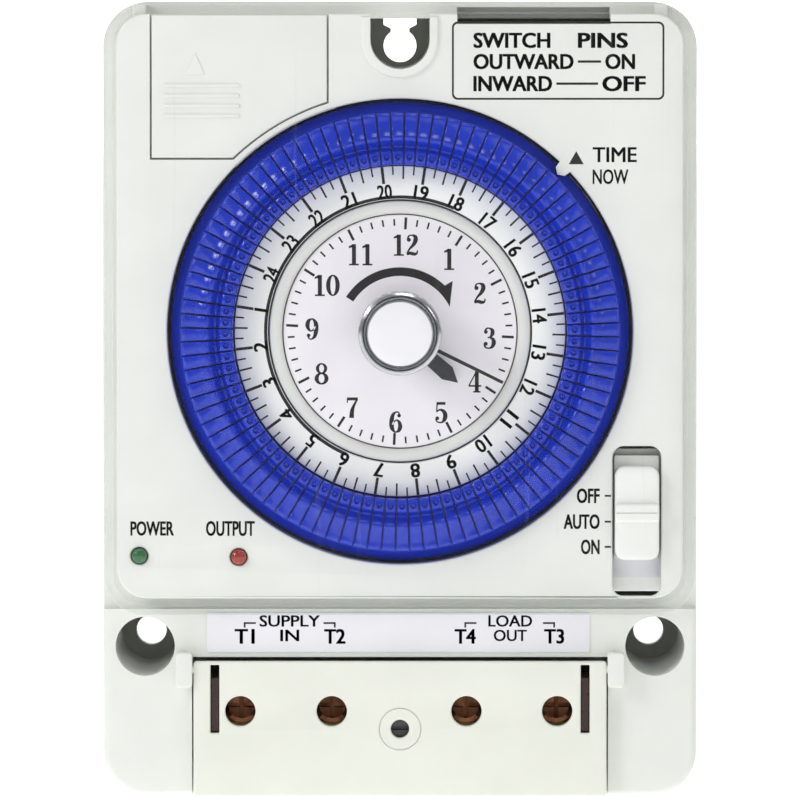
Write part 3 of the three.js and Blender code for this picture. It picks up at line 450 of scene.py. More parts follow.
def clear(name):
    """Clear moulded polycarbonate with a few hairline scratches; towards its rounded edges it is painted more
    opaque and grey, a painted reflection and painted shade.
    """
    surface = Surface(name, (0.86, 0.9, 0.88), 0.06, IOR=1.5, Specular_IOR_Level=0.6)
    facing = surface.node("ShaderNodeLayerWeight")
    facing.inputs["Blend"].default_value = 0.35
    # More opaque where the surface turns from view: a painted reflection along the rounded edges.
    painted_edge_glare = surface.spread(facing.outputs["Facing"], 0.005, 0.42, 0.4, 0.97)
    # Greyer there too: painted shade for the dark lines along the edges.
    painted_edge_shade = surface.ramp(facing.outputs["Facing"], [(0.8, surface.colour), (0.97, (0.7, 0.74, 0.72))])
    surface.link(painted_edge_shade, surface.shader.inputs["Base Color"])
    scratch = surface.noise(900, 2, (1, 1, 0.02), 1.5)
    lines = surface.spread(scratch, 0.0, 0.03, 0.7, 0.76)
    total = surface.node("ShaderNodeMath", operation="ADD", use_clamp=True)
    surface.link(painted_edge_glare, total.inputs[0])
    surface.link(lines, total.inputs[1])
    surface.link(total.outputs["Value"], surface.shader.inputs["Alpha"])
    surface.sheen_range(120, 0.04, 0.1)
    surface.grain(60, 0.02, 0.2)
    return surface.material


def lens(name, colour):
    """Tinted translucent lens."""
    surface = Surface(name, colour, 0.12, IOR=1.49, Transmission_Weight=0.25, Coat_Weight=0.5)
    surface.mottle(1200, 0.75, 1.25)
    surface.grain(1400, 0.01, 0.3)
    return surface.material


def laminate(name):
    """Green circuit board with its faint copper tracks under the lacquer."""
    surface = Surface(name, (0.03, 0.16, 0.06), 0.35, Coat_Weight=0.4)
    cells = surface.node("ShaderNodeTexVoronoi", feature="DISTANCE_TO_EDGE")
    cells.inputs["Scale"].default_value = 330
    surface.link(surface.place, cells.inputs["Vector"])
    tracks = surface.ramp(cells.outputs["Distance"], [(0.04, (0.07, 0.3, 0.1)), (0.07, (0.03, 0.16, 0.06))])
    surface.link(tracks, surface.shader.inputs["Base Color"])
    surface.grain(1500, 0.01, 0.3)
    return surface.material


SHELL = (0.80, 0.822, 0.775)
LOOKS = {
    "casing": moulded("casing_plastic", SHELL, 0.42, 0.022, Subsurface_Weight=0.06, Subsurface_Scale=0.002),
    "panel": moulded("panel_plastic", (0.80, 0.82, 0.775), 0.45, 0.022),
    "terminal_cover": moulded("lid_plastic", (0.80, 0.815, 0.735), 0.45, 0.02),
    "label": moulded("label_film", (0.84, 0.83, 0.88), 0.5, 0.008),
    "ink": printed("black_ink", (0.007, 0.007, 0.008), 0.6),
    "blue": glossy("blue_plastic", (0.003, 0.027, 0.47), 0.17, Specular_IOR_Level=0.5),
    "dial": moulded("dial_plastic", (0.9, 0.92, 0.9), 0.5, 0.012),
    "face": moulded("face_plastic", (0.87, 0.85, 0.89), 0.5, 0.012),
    "face_ring": moulded("ring_plastic", (0.74, 0.75, 0.72), 0.4, 0.01),
    "hands": glossy("hand_lacquer", (0.012, 0.012, 0.015), 0.3),
    "hour_hand": glossy("hour_hand_lacquer", (0.03, 0.032, 0.038), 0.32),
    "knob": metal("bright_plating", (0.62, 0.63, 0.65), 0.14, grain=0.002),
    "knob_cap": moulded("cap_plastic", (0.88, 0.87, 0.91), 0.38, 0.01),
    "slider": moulded("slider_plastic", (0.86, 0.88, 0.84), 0.38, 0.015),
    "switch_body": moulded("switch_plastic", (0.93, 0.95, 0.92), 0.5, 0.02),
    "terminal_block": glossy("block_phenolic", (0.035, 0.012, 0.008), 0.28),
    "brass": metal("stamped_brass", (0.62, 0.42, 0.17), 0.32, (1, 1, 0.1)),
    # Darker than the other steel: painted shade for the cover screw deep in its hole.
    "dark_steel": metal("shade_darkened_steel", (0.10, 0.10, 0.105), 0.4, (0.1, 1, 1)),
    "copper": metal("screw_copper", (0.30, 0.13, 0.07), 0.38, (1, 1, 0.3)),
    "steel": metal("zinc_steel", (0.6, 0.61, 0.62), 0.3, (0.1, 1, 1)),
    "switch_case": glossy("black_switch_plastic", (0.015, 0.015, 0.017), 0.35),
    "plunger": glossy("plunger_plastic", (0.5, 0.03, 0.02), 0.3),
    "board": laminate("board_laminate"),
    "sleeve": glossy("capacitor_sleeve", (0.02, 0.035, 0.1), 0.3),
    "green_lens": lens("green_lens_plastic", (0.02, 0.17, 0.05)),
    "red_lens": lens("red_lens_plastic", (0.42, 0.03, 0.02)),
    "battery": glossy("battery_wrap", (0.03, 0.2, 0.07), 0.3),
    "nylon": moulded("gear_nylon", (0.82, 0.8, 0.72), 0.45, 0.015),
    "clear": clear("clear_polycarbonate"),
}

# ------------------------------------------------------------------ casing


def keyhole():
    """The hanging hole in the back wall: a round hole, a neck and a flared top."""
    hole = arc((0, 59.4), 2.85, 34, 326, 28)
    top = [(-1.6, 62.4), (-2.85, 63.0), (-2.85, 64.1), (2.85, 64.1), (2.85, 63.0), (1.6, 62.4)]
    return hole + [Vector(p) for p in top]


def well_outline(radius, top):
    return arc((0, WELL_Y), radius, 90, 270, 28) + [Vector((-radius, top)), Vector((radius, top))]


def build_case():
    in_x, in_y, in_corner = CASE_X - CASE_WALL, CASE_Y - CASE_WALL, CASE_CORNER - CASE_WALL
    outline = rounded(-CASE_X, CASE_X, -CASE_Y, CASE_Y, CASE_CORNER, 16)
    shell = plate("case_shell", [outline], 0, DECK_Z, 1.1, 4)
    upper = block("t", -in_x, in_x, DECK_TOP + 2, in_y, 3, 50, corner=in_corner)
    lower = block("t", -in_x, in_x, -in_y, DECK_TOP, 3, DECK_Z - 2.4, corner=in_corner)
    step = block("t", -60, 60, DECK_TOP, 80, RIM_Z, 50)
    shell = cut(shell, upper, lower, step)
    towers = [rod("t", 6.6, 1, DECK_Z - 0.3, at, 64) for at in FIXINGS]
    trims = [block("t", x - 8, x + 8, DECK_TOP, 0, RIM_Z, 50) for x in (-43, 43)]
    bosses = [rod("t", 3.9, 1, 8.4, at, 32) for at in CASE_SCREWS]
    well = plate("t", [well_outline(WELL_R + 1.6, CASE_Y - 1)], 2.5, RIM_Z)
    side = LID_HALF + 0.3
    room_top = LID_HIGH + 0.6
    walls = [block("t", a, b, -CASE_Y + 1.2, room_top + 1.6, 2, DECK_Z - 1) for a, b in
             ((-side - 1.6, -side), (side, side + 1.6), (-side - 1.6, side + 1.6))]
    shell = fuse(shell, well, *bosses, *towers, *walls)
    room = block("t", -side, side, -CASE_Y - 2, room_top, 10, 50)
    cuts = [plate("t", [circle(at, 5.0, 72)], 3, 50) for at in FIXINGS]
    cuts += [plate("t", [circle(at, 2.6, 40)], -2, 5) for at in FIXINGS]
    cuts += [rod("t", 3.1, -1, 4, at, 40) for at in CASE_SCREWS]
    cuts += [rod("t", 1.6, 3, 9, at, 24) for at in CASE_SCREWS]
    cuts.append(plate("t", [well_outline(WELL_R, in_y)], 3, 50))
    cuts.append(plate("t", [keyhole()], -1, 4))
    cuts.append(block("t", -30, 30, DECK_TOP - 1, DECK_TOP + 3, 8, 30))
    cuts.append(block("t", -37.8, 37.8, -62, -50, 12, 34))
    cuts.append(block("t", *SLOT, in_y - 1, CASE_Y - 0.9, 34, 50))
    shell = cut(shell, *trims, room, *cuts)
    x0, x1, y0, y1 = HINGE_EAR
    ears = [block("t", a, b, y0, y1, DECK_Z - 2, 43, 0.25, 0.6) for a, b in ((-x1, -x0), (x0, x1))]
    lugs = []
    for a, b in ((-44.8, -42.6), (42.6, 44.8)):
        lugs.append(block("t", a, b, 64, 66.6, RIM_Z - 1, 41.3, 0.2))
    shell = fuse(shell, *ears, *lugs)
    piece(shell, "case", LOOKS["casing"], "rear_case", slot="casing", bevel=0.3)


# ------------------------------------------------------------------ print


def words(text, x, y, z, height, width=None, bold=0.0, align=0.5, turn=0.0):
    """A line of print: x, y is on its middle height, at its left (align 0), middle or right (align 1).

    A bold line is the same line laid again a little to each side, by a share of its height.
    """
    half_thick = 0.001
    shifts = [(0, 0)]
    if bold:
        shifts += [(-1, -0.5), (1, -0.5), (-1, 0.5), (1, 0.5)]
    lines = []
    for dx, dy in shifts:
        curve = bpy.data.curves.new("words", "FONT")
        curve.body = text
        curve.resolution_u = 3
        curve.extrude = half_thick
        line = settle(put("words", curve))
        line.data.transform(Matrix.Translation((dx * bold, dy * bold, 0)))
        lines.append(line)
    mesh = gather("words", lines)
    spots = [v.co for v in mesh.data.vertices]
    x0, x1 = min(p.x for p in spots), max(p.x for p in spots)
    y0, y1 = min(p.y for p in spots), max(p.y for p in spots)
    up = height / (y1 - y0)
    across = width / (x1 - x0) if width else up
    middle = Matrix.Translation((-x0 - align * (x1 - x0), -(y0 + y1) / 2, 0))
    spin = Matrix.Rotation(math.radians(-turn), 4, "Z")
    size = Matrix.Diagonal((across, up, INK / half_thick, 1))
    mesh.data.transform(Matrix.Translation((x, y, z)) @ spin @ size @ middle)
    return mesh


def mark(outline, z):
    """A printed area."""
    return plate("mark", [outline], z - INK, z + INK)


def bar(x0, x1, y0, y1, z, turn=0.0, centre=(0, 0)):
    return mark(moved([(x0, y1), (x1, y1), (x1, y0), (x0, y0)], centre, turn), z)


def between(p, q, r, s, t):
    """A value a share t of the way from q to r, on a smooth curve that also heeds p and s."""
    slope, bend, twist = r - p, 2 * p - 5 * q + 4 * r - s, 3 * q - p - 3 * r + s
    return 0.5 * (2 * q + slope * t + bend * t ** 2 + twist * t ** 3)


def stroke(points, steps=5):
    """The outline of a pen stroke through points of (x, y, half width)."""
    if len(points) > 2:
        ends = [points[0]] + list(points) + [points[-1]]
        smooth = []
        for a, b, c, d in zip(ends, ends[1:], ends[2:], ends[3:]):
            for i in range(steps):
                smooth.append([between(*values, i / steps) for values in zip(a, b, c, d)])
        points = smooth + [points[-1]]
    left, right = [], []
    for i, (x, y, half) in enumerate(points):
        near, far = points[max(i - 1, 0)], points[min(i + 1, len(points) - 1)]
        along = Vector((far[0] - near[0], far[1] - near[1])).normalized()
        side = Vector((-along.y, along.x)) * half
        left.append(Vector((x, y)) + side)
        right.append(Vector((x, y)) - side)
    return left + right[::-1]


def oval(x, y, rx, ry, across, along, steps=28):
    """A ring whose sides are thicker than its top and bottom."""
    spots = [polar(1, 360 * i / steps) for i in range(steps)]
    outer = [Vector((x + p.x * (rx + across), y + p.y * (ry + along))) for p in spots]
    inner = [Vector((x + p.x * (rx - across), y + p.y * (ry - along))) for p in spots]
    return [outer, inner]


def area(x0, x1, y0, y1):
    return [Vector((x0, y1)), Vector((x1, y1)), Vector((x1, y0)), Vector((x0, y0))]


SIX = [
    [stroke([(5.2, 8.3, .3), (4.6, 9.5, .35), (3.4, 9.65, .35), (2, 8.3, .8), (1.4, 5.5, 1.05), (1.5, 2.5, 1),
             (2.6, .6, .5), (3.5, .35, .35), (4.8, 1.1, .8), (5.4, 3, 1), (4.9, 5, .7), (3.7, 5.9, .35),
             (2.4, 5, .35), (1.8, 3.8, .3)])],
    [circle((4.9, 8), .85, 16)],
]
SERIF = {  # each digit 10 high, as areas with their holes
    "1": [[area(2.65, 4.55, .2, 9.9)], [area(1.3, 5.9, 0, .75)], [[Vector(p) for p in
          ((1.2, 8), (1.2, 8.9), (3.4, 10), (3.4, 8.6))]]],
    "2": [[stroke([(1.35, 7.7, .35), (1.9, 9.2, .4), (3.4, 9.65, .35), (4.9, 8.9, .9), (5.1, 7.3, 1.05),
                   (4.1, 5.2, .8), (2.3, 3.2, .45), (1.2, 1.2, .4)])],
          [stroke([(1, .7, .55), (2.6, 1.25, .75), (4.3, .85, .8), (5.6, 1.1, .5), (6, 2.6, .25)])],
          [circle((1.95, 7.5), .95, 16)]],
    "3": [[stroke([(1.4, 8.2, .35), (2.2, 9.5, .4), (3.6, 9.65, .35), (4.9, 8.7, .85), (4.9, 7, .9),
                   (3.9, 5.6, .4), (2.7, 5.3, .3)])],
          [stroke([(3.7, 5.4, .35), (5.2, 4.5, .8), (5.6, 2.8, 1), (4.8, 1, .7), (3.3, .35, .35),
                   (1.7, .8, .4), (1.1, 2, .35)])],
          [circle((1.9, 8), .9, 16)], [circle((1.8, 2.4), .95, 16)]],
    "4": [[stroke([(4.2, 10, .3), (.6, 3.2, .3)])], [area(.5, 6.4, 2.7, 3.5)], [area(3.4, 5.2, .2, 10)],
          [area(2.6, 6, 0, .7)]],
    "5": [[area(1.5, 5.6, 8.6, 9.9)], [stroke([(1.7, 9.6, .3), (1.5, 5.2, .3)])],
          [stroke([(1.5, 5.3, .3), (2.6, 6.2, .4), (4.2, 6, .7), (5.4, 4.4, 1), (5.3, 2.2, 1), (4.2, .6, .5),
                   (2.8, .35, .35), (1.5, .9, .35), (1.1, 2, .3)])],
          [circle((1.75, 2.3), .9, 16)]],
    "6": SIX,
    "7": [[area(1, 6, 8.5, 9.9)], [stroke([(1.15, 9.5, .3), (1.1, 7.3, .25)])],
          [stroke([(5.7, 9, .4), (4.2, 6.2, .6), (3.3, 3.5, .95), (3.1, .3, 1.1)])]],
    "8": [oval(3.4, 7.5, 1.9, 2.2, .75, .35), oval(3.4, 2.8, 2.3, 2.45, .95, .4)],
    "9": [[moved(outline, (6.7, 10), 180) for outline in shape] for shape in SIX],
    "0": [oval(3.4, 5, 2.2, 4.65, 1, .35)],
}


def serif_number(text, x, y, z, height):
    """A bold serif number with its middle at x, y."""
    unit = height / 10
    pitch = 6.3
    start = x - len(text) * pitch * unit / 2
    made = []
    for i, digit in enumerate(text):
        for shape in SERIF[digit]:
            outlines = [moved(o, (start + i * pitch * unit, y - height / 2), 0, unit) for o in shape]
            made.append(plate("digit", outlines, z - INK, z + INK))
    return made


# ------------------------------------------------------------------ front panel and battery door


def door_outline(grow, top):
    """The battery door: square but for the arc that it leaves for the dial."""
    left, right, bottom, radius = -41.7 - grow, -12.2 + grow, 40.8 - grow, 40.4 - grow
    start = math.degrees(math.asin(right / radius))
    end = -math.degrees(math.acos((bottom - DIAL.y) / radius))
    sweep = arc(DIAL, radius, start, end, 14)
    return [Vector((left, bottom)), Vector((left, top)), Vector((right, top))] + sweep


def build_panel():
    z = PANEL_Z
    under = z - PANEL_THICK
    skirt_top = PANEL_HIGH - 1.8
    outline = rounded(-PANEL_X, PANEL_X, PANEL_LOW, PANEL_HIGH, 5, 12)
    window = rounded(SWITCH.x - WINDOW.x / 2, SWITCH.x + WINDOW.x / 2,
                     SWITCH.y - WINDOW.y / 2, SWITCH.y + WINDOW.y / 2, 1.9, 8)
    lamp_holes = [circle(at, LAMP_R, 32) for at in LAMPS.values()]
    face = plate("front", [outline, circle(DIAL, DIAL_OPENING, 160), window] + lamp_holes, under, z, 0.35, 3)
    skirt = plate("t", [rounded(-PANEL_X, PANEL_X, PANEL_LOW, skirt_top, 5, 12),
                        rounded(-PANEL_X + 1.6, PANEL_X - 1.6, PANEL_LOW + 1.6, skirt_top - 1.6, 3.4, 8)],
                  RIM_Z + 0.1, under + 0.5)
    rim = plate("t", [circle(DIAL, 40.4, 160), circle(DIAL, DIAL_OPENING, 160)], 39, z - 0.6)
    collar = plate("t", [well_outline(6.5, PANEL_HIGH - 0.4)], z - 1, z + 0.5, 0.45, 4)
    neck = plate("t", [well_outline(6.6, skirt_top)], RIM_Z + 0.1, z - 0.6)
    tray = plate("t", [door_outline(1.4, skirt_top)], 40, under + 0.5)
    towers = [rod("t", 2.6, 8.6, under + 0.3, at, 24) for at in CASE_SCREWS]
    body = fuse(face, skirt, rim, collar, neck, tray, *towers)
    cuts = [
        plate("t", [well_outline(WELL_R, PANEL_HIGH + 1)], 30, 60),
        plate("t", [door_outline(0.25, PANEL_HIGH + 1)], z - 1.75, 60),
        plate("t", [door_outline(-1.6, 62.2)], 30, 60),
        block("t", *SLOT, PANEL_HIGH - 1.7, PANEL_HIGH + 1, 30, 60),
        block("t", SWITCH.x - 5, SWITCH.x + 5, SWITCH.y - 13.9, SWITCH.y + 14.4, 30, under),
        plate("t", [window], 30, z - 1.2),
        rod("t", DIAL_OPENING, 30, 39.4, DIAL, 160),
    ]
    body = cut(body, *cuts)
    root, tip, half = DIAL_OPENING + 0.4, DIAL_OPENING - 1.8, 1.3
    shape = [(half, root), (half * 0.8, tip + 0.7), (0, tip), (-half * 0.8, tip + 0.7), (-half, root)]
    body = fuse(body, plate("t", [moved(shape, DIAL, POINTER)], z - 0.9, z, 0.1))
    piece(body, "case", LOOKS["panel"], "front_panel", slot="panel", bevel=0.18)


def build_panel_print():
    z = PANEL_Z
    x0, x1, y0, y1 = 8.7, 44.3, 50.6, 63.7
    line = 0.32
    inside = rounded(x0 + line, x1 - line, y0 + line, y1 - line, 0.75)
    made = [plate("frame", [rounded(x0, x1, y0, y1, 1.0), inside], z - INK, z + INK)]
    start, gap = 12.3, 0.7
    for y, left, left_width, right, right_width, end in (
        (60.55, "SWITCH", 12.9, "PINS", 8.4, 38.2),
        (57.0, "OUTWARD", 16.8, "ON", 5.0, 39.4),
        (53.3, "INWARD", 13.2, "OFF", 7.3, 41.2),
    ):
        made.append(words(left, start, y, z, 2.6, left_width, 0.034, 0))
        made.append(words(right, end, y, z, 2.6, right_width, 0.034, 1))
        if right != "PINS":
            made.append(bar(start + left_width + gap, end - right_width - gap, y - 0.2, y + 0.2, z))
    made.append(mark([Vector((28.3, 39.8)), Vector((29.55, 42.0)), Vector((30.8, 39.8))], z))
    made.append(words("TIME", 32.3, 41.4, z, 2.5, 7.4, 0.02, 0))
    made.append(words("NOW", 32.3, 37.7, z, 2.5, 6.0, 0.02, 0))
    made.append(words("POWER", -45.3, -21.4, z, 2.45, 7.3, 0.032, 0))
    made.append(words("OUTPUT", -32.6, -21.4, z, 2.55, 8.2, 0.032, 0))
    for text, y, left in (("OFF", -15.9, 29.7), ("AUTO", -20.25, 27.5), ("ON", -24.5, 30.4)):
        made.append(words(text, 33.55, y, z, 2.5, 33.55 - left, 0.034, 1))
        made.append(bar(34.4, 35.45, y - 0.16, y + 0.16, z))
    piece(gather("panel_print", made), "case", LOOKS["ink"])


def build_battery_door():
    slab = plate("door", [door_outline(-0.05, 64.8)], 42.9, PANEL_Z - 0.05, 0.25, 3)
    ribs = [block("t", -39.7, -26.8, y, y + 0.6, 44, 44.75, 0.2, 0.28) for y in (47.6, 49.3, 51, 52.7)]
    tip = [Vector((-36.0, 54.8)), Vector((-34.35, 58.6)), Vector((-32.7, 54.8))]
    arrow = plate("t", [tip], 44, 44.62, 0.1)
    piece(fuse(slab, arrow, *ribs), "battery_door", LOOKS["panel"], "battery_door", slot="panel", angle=45)


# ------------------------------------------------------------------ clear cover


def build_cover():
    wall, rounding, corner, base = 1.4, 3.0, 6.5, 38.6
    outside = rounded(-COVER_X, COVER_X, COVER_LOW, COVER_HIGH, corner, 14)
    in_x = COVER_X - wall
    inside = rounded(-in_x, in_x, COVER_LOW + wall, COVER_HIGH - wall, corner - wall, 14)
    outer = plate("cover", [outside], 26, COVER_Z, rounding, 6)
    inner = plate("t", [inside], 20, COVER_Z - wall, 2.0, 6)
    below = block("t", -80, 80, -80, 90, 10, base)
    shell = cut(outer, inner, below)
    y0, y1, z0 = COVER_HIGH - 3.4, COVER_HIGH + 1, base - 1
    cuts = [block("t", -42.5, -11.9, y0, y1, z0, PANEL_Z + 0.6)]  # room for the battery door
    for a, b in ((-45.1, -42.3), (42.3, 45.1)):
        cuts.append(block("t", a, b, y0, y1, z0, 42.1))  # room for the case's lugs
    shell = cut(shell, *cuts)
    grips = []
    for x in (-COVER_X, COVER_X):
        for k in range(4):
            y = -21.42 + 0.75 * k
            grips.append(block("t", x - 0.3, x + 0.3, y - 0.17, y + 0.17, 47, 53, 0.1, 0.1))
    shell = fuse(shell, *grips)
    piece(shell, "clear_cover", LOOKS["clear"], "clear_cover", slot="clear", angle=40)
    pins = []
    for side in (-1, 1):
        pin = rod("pin", 0.8, 0, 3.2, (0, 0), 24, 0.15)
        turn = Matrix.Translation((side * 42.4, 65.3, 40)) @ Matrix.Rotation(side * math.pi / 2, 4, "Y")
        pin.data.transform(turn)
        pins.append(pin)
    piece(gather("cover_pins", pins), "clear_cover", LOOKS["clear"])


# ------------------------------------------------------------------ terminals


def build_terminals():
    z, under = LID_Z, LID_Z - LID_THICK
    windows = [circle((x, SCREW_Y), 2.55, 48) for x in SCREW_X]
    slots = [rounded(x - 0.75, x + 0.75, -56.1, -44.6, 0.12, 2) for x in (-LID_SLOT_X, LID_SLOT_X)]
    outline = rounded(-LID_HALF, LID_HALF, LID_LOW, LID_HIGH, 0.5, 4)
    screw = (0, LID_SCREW_Y)
    face = plate("lid", [outline, circle(screw, 1.55, 32)] + windows + slots, under, z, 0.3, 3)
    parts = [block("t", -LID_HALF + 0.4, LID_HALF - 0.4, LID_LOW, LID_LOW + 1.6, z - 9, under + 0.5)]
    for a, b in ((-LID_HALF, -LID_HALF + 1.4), (LID_HALF - 1.4, LID_HALF)):
        parts.append(block("t", a, b, LID_LOW + 0.2, -48.4, z - 7, under + 0.5))
    parts.append(plate("t", [circle(screw, 3.55, 48), circle(screw, 2.6, 32)], z - 7, under + 0.4))
    lid = fuse(face, *parts)
    groove = plate("t", [circle(screw, 3.62, 64), circle(screw, 3.4, 64)], z - 0.25, z + 1)
    lid = cut(lid, groove)
    piece(lid, "terminal_cover", LOOKS["terminal_cover"], "terminal_cover", slot="terminal_cover", angle=40)
    hubs = []
    for side in (-1, 1):
        hub = rod("hub", 0.7, 0, 1.9, (0, 0), 20, 0.1)
        place = Matrix.Translation((side * 34.5, HINGE_Y, 41.4))
        hub.data.transform(place @ Matrix.Rotation(side * math.pi / 2, 4, "Y"))
        hubs.append(hub)
    piece(gather("lid_hubs", hubs), "terminal_cover", LOOKS["terminal_cover"])


def build_label():
    x0, x1, y0, y1, z0, z1 = face_box("terminal_label")
    strip = block("label_strip", x0, x1, y0, y1, z0, z1, 0.05, 0.3)
    piece(strip, "case", LOOKS["label"], "terminal_label", slot="label")
    upper, lower, names = -37.3, -39.75, -39.9
    made = []
    for text, x, y, width in (("SUPPLY", -18.6, upper, 10.2), ("IN", -18.6, lower, 3.2),
                              ("LOAD", 18.6, upper, 7.4), ("OUT", 18.6, lower, 5.6)):
        made.append(words(text, x, y, z1, 1.95, width, 0.02))
    for text, x, width in (("T1", -26.2, 3.4), ("T2", -11.0, 3.6), ("T4", 11.0, 3.6), ("T3", 26.0, 3.4)):
        made.append(words(text, x, names, z1, 2.5, width, 0.03))
    for a, b in ((-26.2, -11.0), (11.0, 26.0)):
        made.append(bar(a, a + 1.9, -37.8, -37.5, z1))
        made.append(bar(b - 1.9, b, -37.8, -37.5, z1))
        made.append(bar(a - 0.15, a + 0.15, -38.4, -37.5, z1))
        made.append(bar(b - 0.15, b + 0.15, -38.4, -37.5, z1))
    piece(gather("terminal_print", made), "case", LOOKS["ink"])


# ------------------------------------------------------------------ dial

TAPPET_GAP = 0.26
TAPPET_SIDE = (  # radius and height along one tappet, from its foot at the dial over its crest
    (28.05, 44.7), (28.05, 46.3), (28.2, 46.75), (28.5, 46.95), (29.4, 47.0), (30.1, 46.95), (30.45, 46.7),
    (30.7, 46.2), (31.1, 46.05), (31.45, 46.35), (31.8, 47.1), (32.25, 47.75), (32.7, 47.9), (33.1, 47.7),
    (33.5, 47.3), (34.4, 47.0), (35.9, 46.8), (36.25, 46.9), (36.5, 46.8), (36.75, 46.45), (36.9, 45.9),
    (36.9, 44.7),
)


def build_tappet():
    """One tappet of the bank, pointing up from the dial's centre."""
    work = bmesh.new()
    half_angle = math.radians(TAPPET_STEP / 2)
    sides = []
    for sign in (-1, 1):
        row = []
        for r, z in TAPPET_SIDE:
            a = half_angle - TAPPET_GAP / 2 / r
            row.append(work.verts.new((DIAL.x + sign * r * math.sin(a), DIAL.y + r * math.cos(a), z)))
        sides.append(row)
    left, right = sides
    count = len(left)
    for i in range(count):
        j = (i + 1) % count
        work.faces.new((left[i], left[j], right[j], right[i]))
    work.faces.new(left)
    work.faces.new(right)
    bmesh.ops.recalc_face_normals(work, faces=work.faces)
    mesh = bpy.data.meshes.new("tappet")
    work.to_mesh(mesh)
    work.free()
    tappet = put("tappet", mesh)
    edge = tappet.modifiers.new("edges", "BEVEL")
    edge.width = 0.13
    edge.segments = 2
    edge.limit_method = "ANGLE"
    edge.angle_limit = math.radians(50)
    tappet = settle(tappet)
    leg = block("t", -0.75, 0.75, DIAL.y + 32.2, DIAL.y + 33.8, 33.6, 45.4)
    hollow = [(0, 46.5), (0.3, 46.55), (0.5, 46.9), (0.5, 48), (0, 48)]
    dimple = lathe("t", hollow, (DIAL.x, DIAL.y + 29.3), 16)
    return cut(fuse(tappet, leg), dimple)


def build_dial():
    one = build_tappet()
    turns = [DIAL_PHASE + TAPPET_STEP * (k + 0.5) for k in range(TAPPETS)]
    loose = range(FIRST_LOOSE, LAST_LOOSE + 1)
    for number, k in enumerate(loose, 1):
        name = f"tappet_{number}"
        pin = copies(f"pin_{number}", one, [turns[k]], DIAL)
        piece(pin, name, LOOKS["blue"], name, slot="blue", angle=50)
    bank = copies("pin_bank", one, [turns[k] for k in range(TAPPETS) if k not in loose], DIAL)
    piece(bank, "dial", LOOKS["blue"], "tappet_bank", slot="blue", angle=50)
    bpy.data.objects.remove(one)

    ring = [(22.1, 37.2), (22.1, 41.2), (28.0, 41.2), (28.1, 44.4), (37.0, 44.4), (37.0, 43.3), (37.2, 43.1),
            (38.4, 42.0), (38.55, 41.7), (38.55, 37.4), (38.3, 37.2)]
    piece(lathe("pin_carrier", ring, DIAL, 192), "dial", LOOKS["blue"], "dial_carrier", slot="blue")
    # A black ring under the panel's rim, in the gap round the dial, where there is only shade: painted shadow
    # over the lit brass behind.
    painted_shadow_ring = plate("painted_shadow_ring", [circle(DIAL, 40.2, 128), circle(DIAL, 38.75, 128)], 38.3, 38.9, 0.05)
    piece(painted_shadow_ring, "case", LOOKS["switch_case"])


def build_day_dial():
    z = DIAL_Z
    disc = [(22.2, 41.3), (22.2, z - 0.25), (22.32, z - 0.06), (22.5, z), (27.6, z), (27.74, z - 0.06),
            (27.8, z - 0.2), (27.8, 41.3)]
    piece(lathe("day_dial", disc, DIAL, 192), "dial", LOOKS["dial"], "dial_plate", slot="dial")

    made = []
    for i in range(TAPPETS):
        hour, quarter = divmod(i, 4)
        inner, half = ((24.9, 0.24), (26.3, 0.13), (25.6, 0.15), (26.3, 0.13))[quarter]
        made.append(bar(-half, half, inner, 27.72, z, DIAL_PHASE + i * TAPPET_STEP, DIAL))
        if quarter == 0:
            turn = DIAL_PHASE + 15 * hour
            value = (16 - hour - 1) % 24 + 1
            spot = DIAL + polar(23.55, turn)
            width = 2.45 if value > 9 else None
            made.append(words(str(value), spot.x, spot.y, z, 2.4, width, 0.027, 0.5, turn))
    dusk, dawn = DIAL_PHASE + 15 * 10, DIAL_PHASE + 15 * 22
    made.append(mark(arc(DIAL, 22.85, dusk, dawn, 60) + arc(DIAL, 22.3, dawn, dusk, 60), z))
    piece(gather("day_dial_print", made), "dial", LOOKS["ink"])


# ------------------------------------------------------------------ clock


def build_clock():
    z = FACE_Z
    disc = [(0, 41.5), (0, z), (19.4, z), (19.55, z - 0.06), (19.6, z - 0.2), (19.6, 41.5)]
    piece(lathe("clock_disc", disc, DIAL, 160), "case", LOOKS["face"], "clock_face", slot="face")
    bezel = [(19.8, 41.5), (19.8, 42.9), (19.95, 43.15), (20.3, 43.34), (20.85, 43.4), (21.4, 43.34),
             (21.75, 43.12), (21.9, 42.8), (21.9, 41.5)]
    piece(lathe("clock_bezel", bezel, DIAL, 160), "case", LOOKS["face_ring"], "face_ring", slot="face_ring")
    made = []
    for i in range(60):
        inner, outer, half = (17.15, 19.15, 0.22) if i % 5 == 0 else (17.75, 18.9, 0.15)
        made.append(bar(-half, half, inner, outer, z, FACE_TURN + 6 * i, DIAL))
    for hour in range(1, 13):
        spot = DIAL + polar(14.9, FACE_TURN + 30 * hour) - Vector((0, 0.4))
        made += serif_number(str(hour), spot.x, spot.y, z, 3.6)
    start, end = -57.5, 44.4
    arrow = arc(DIAL, 10.75, start, end, 40) + [DIAL + polar(12.25, 46.3)] + arc(DIAL, 9.3, 64, start, 46)
    made.append(mark(arrow, z))
    piece(gather("clock_print", made), "case", LOOKS["ink"])


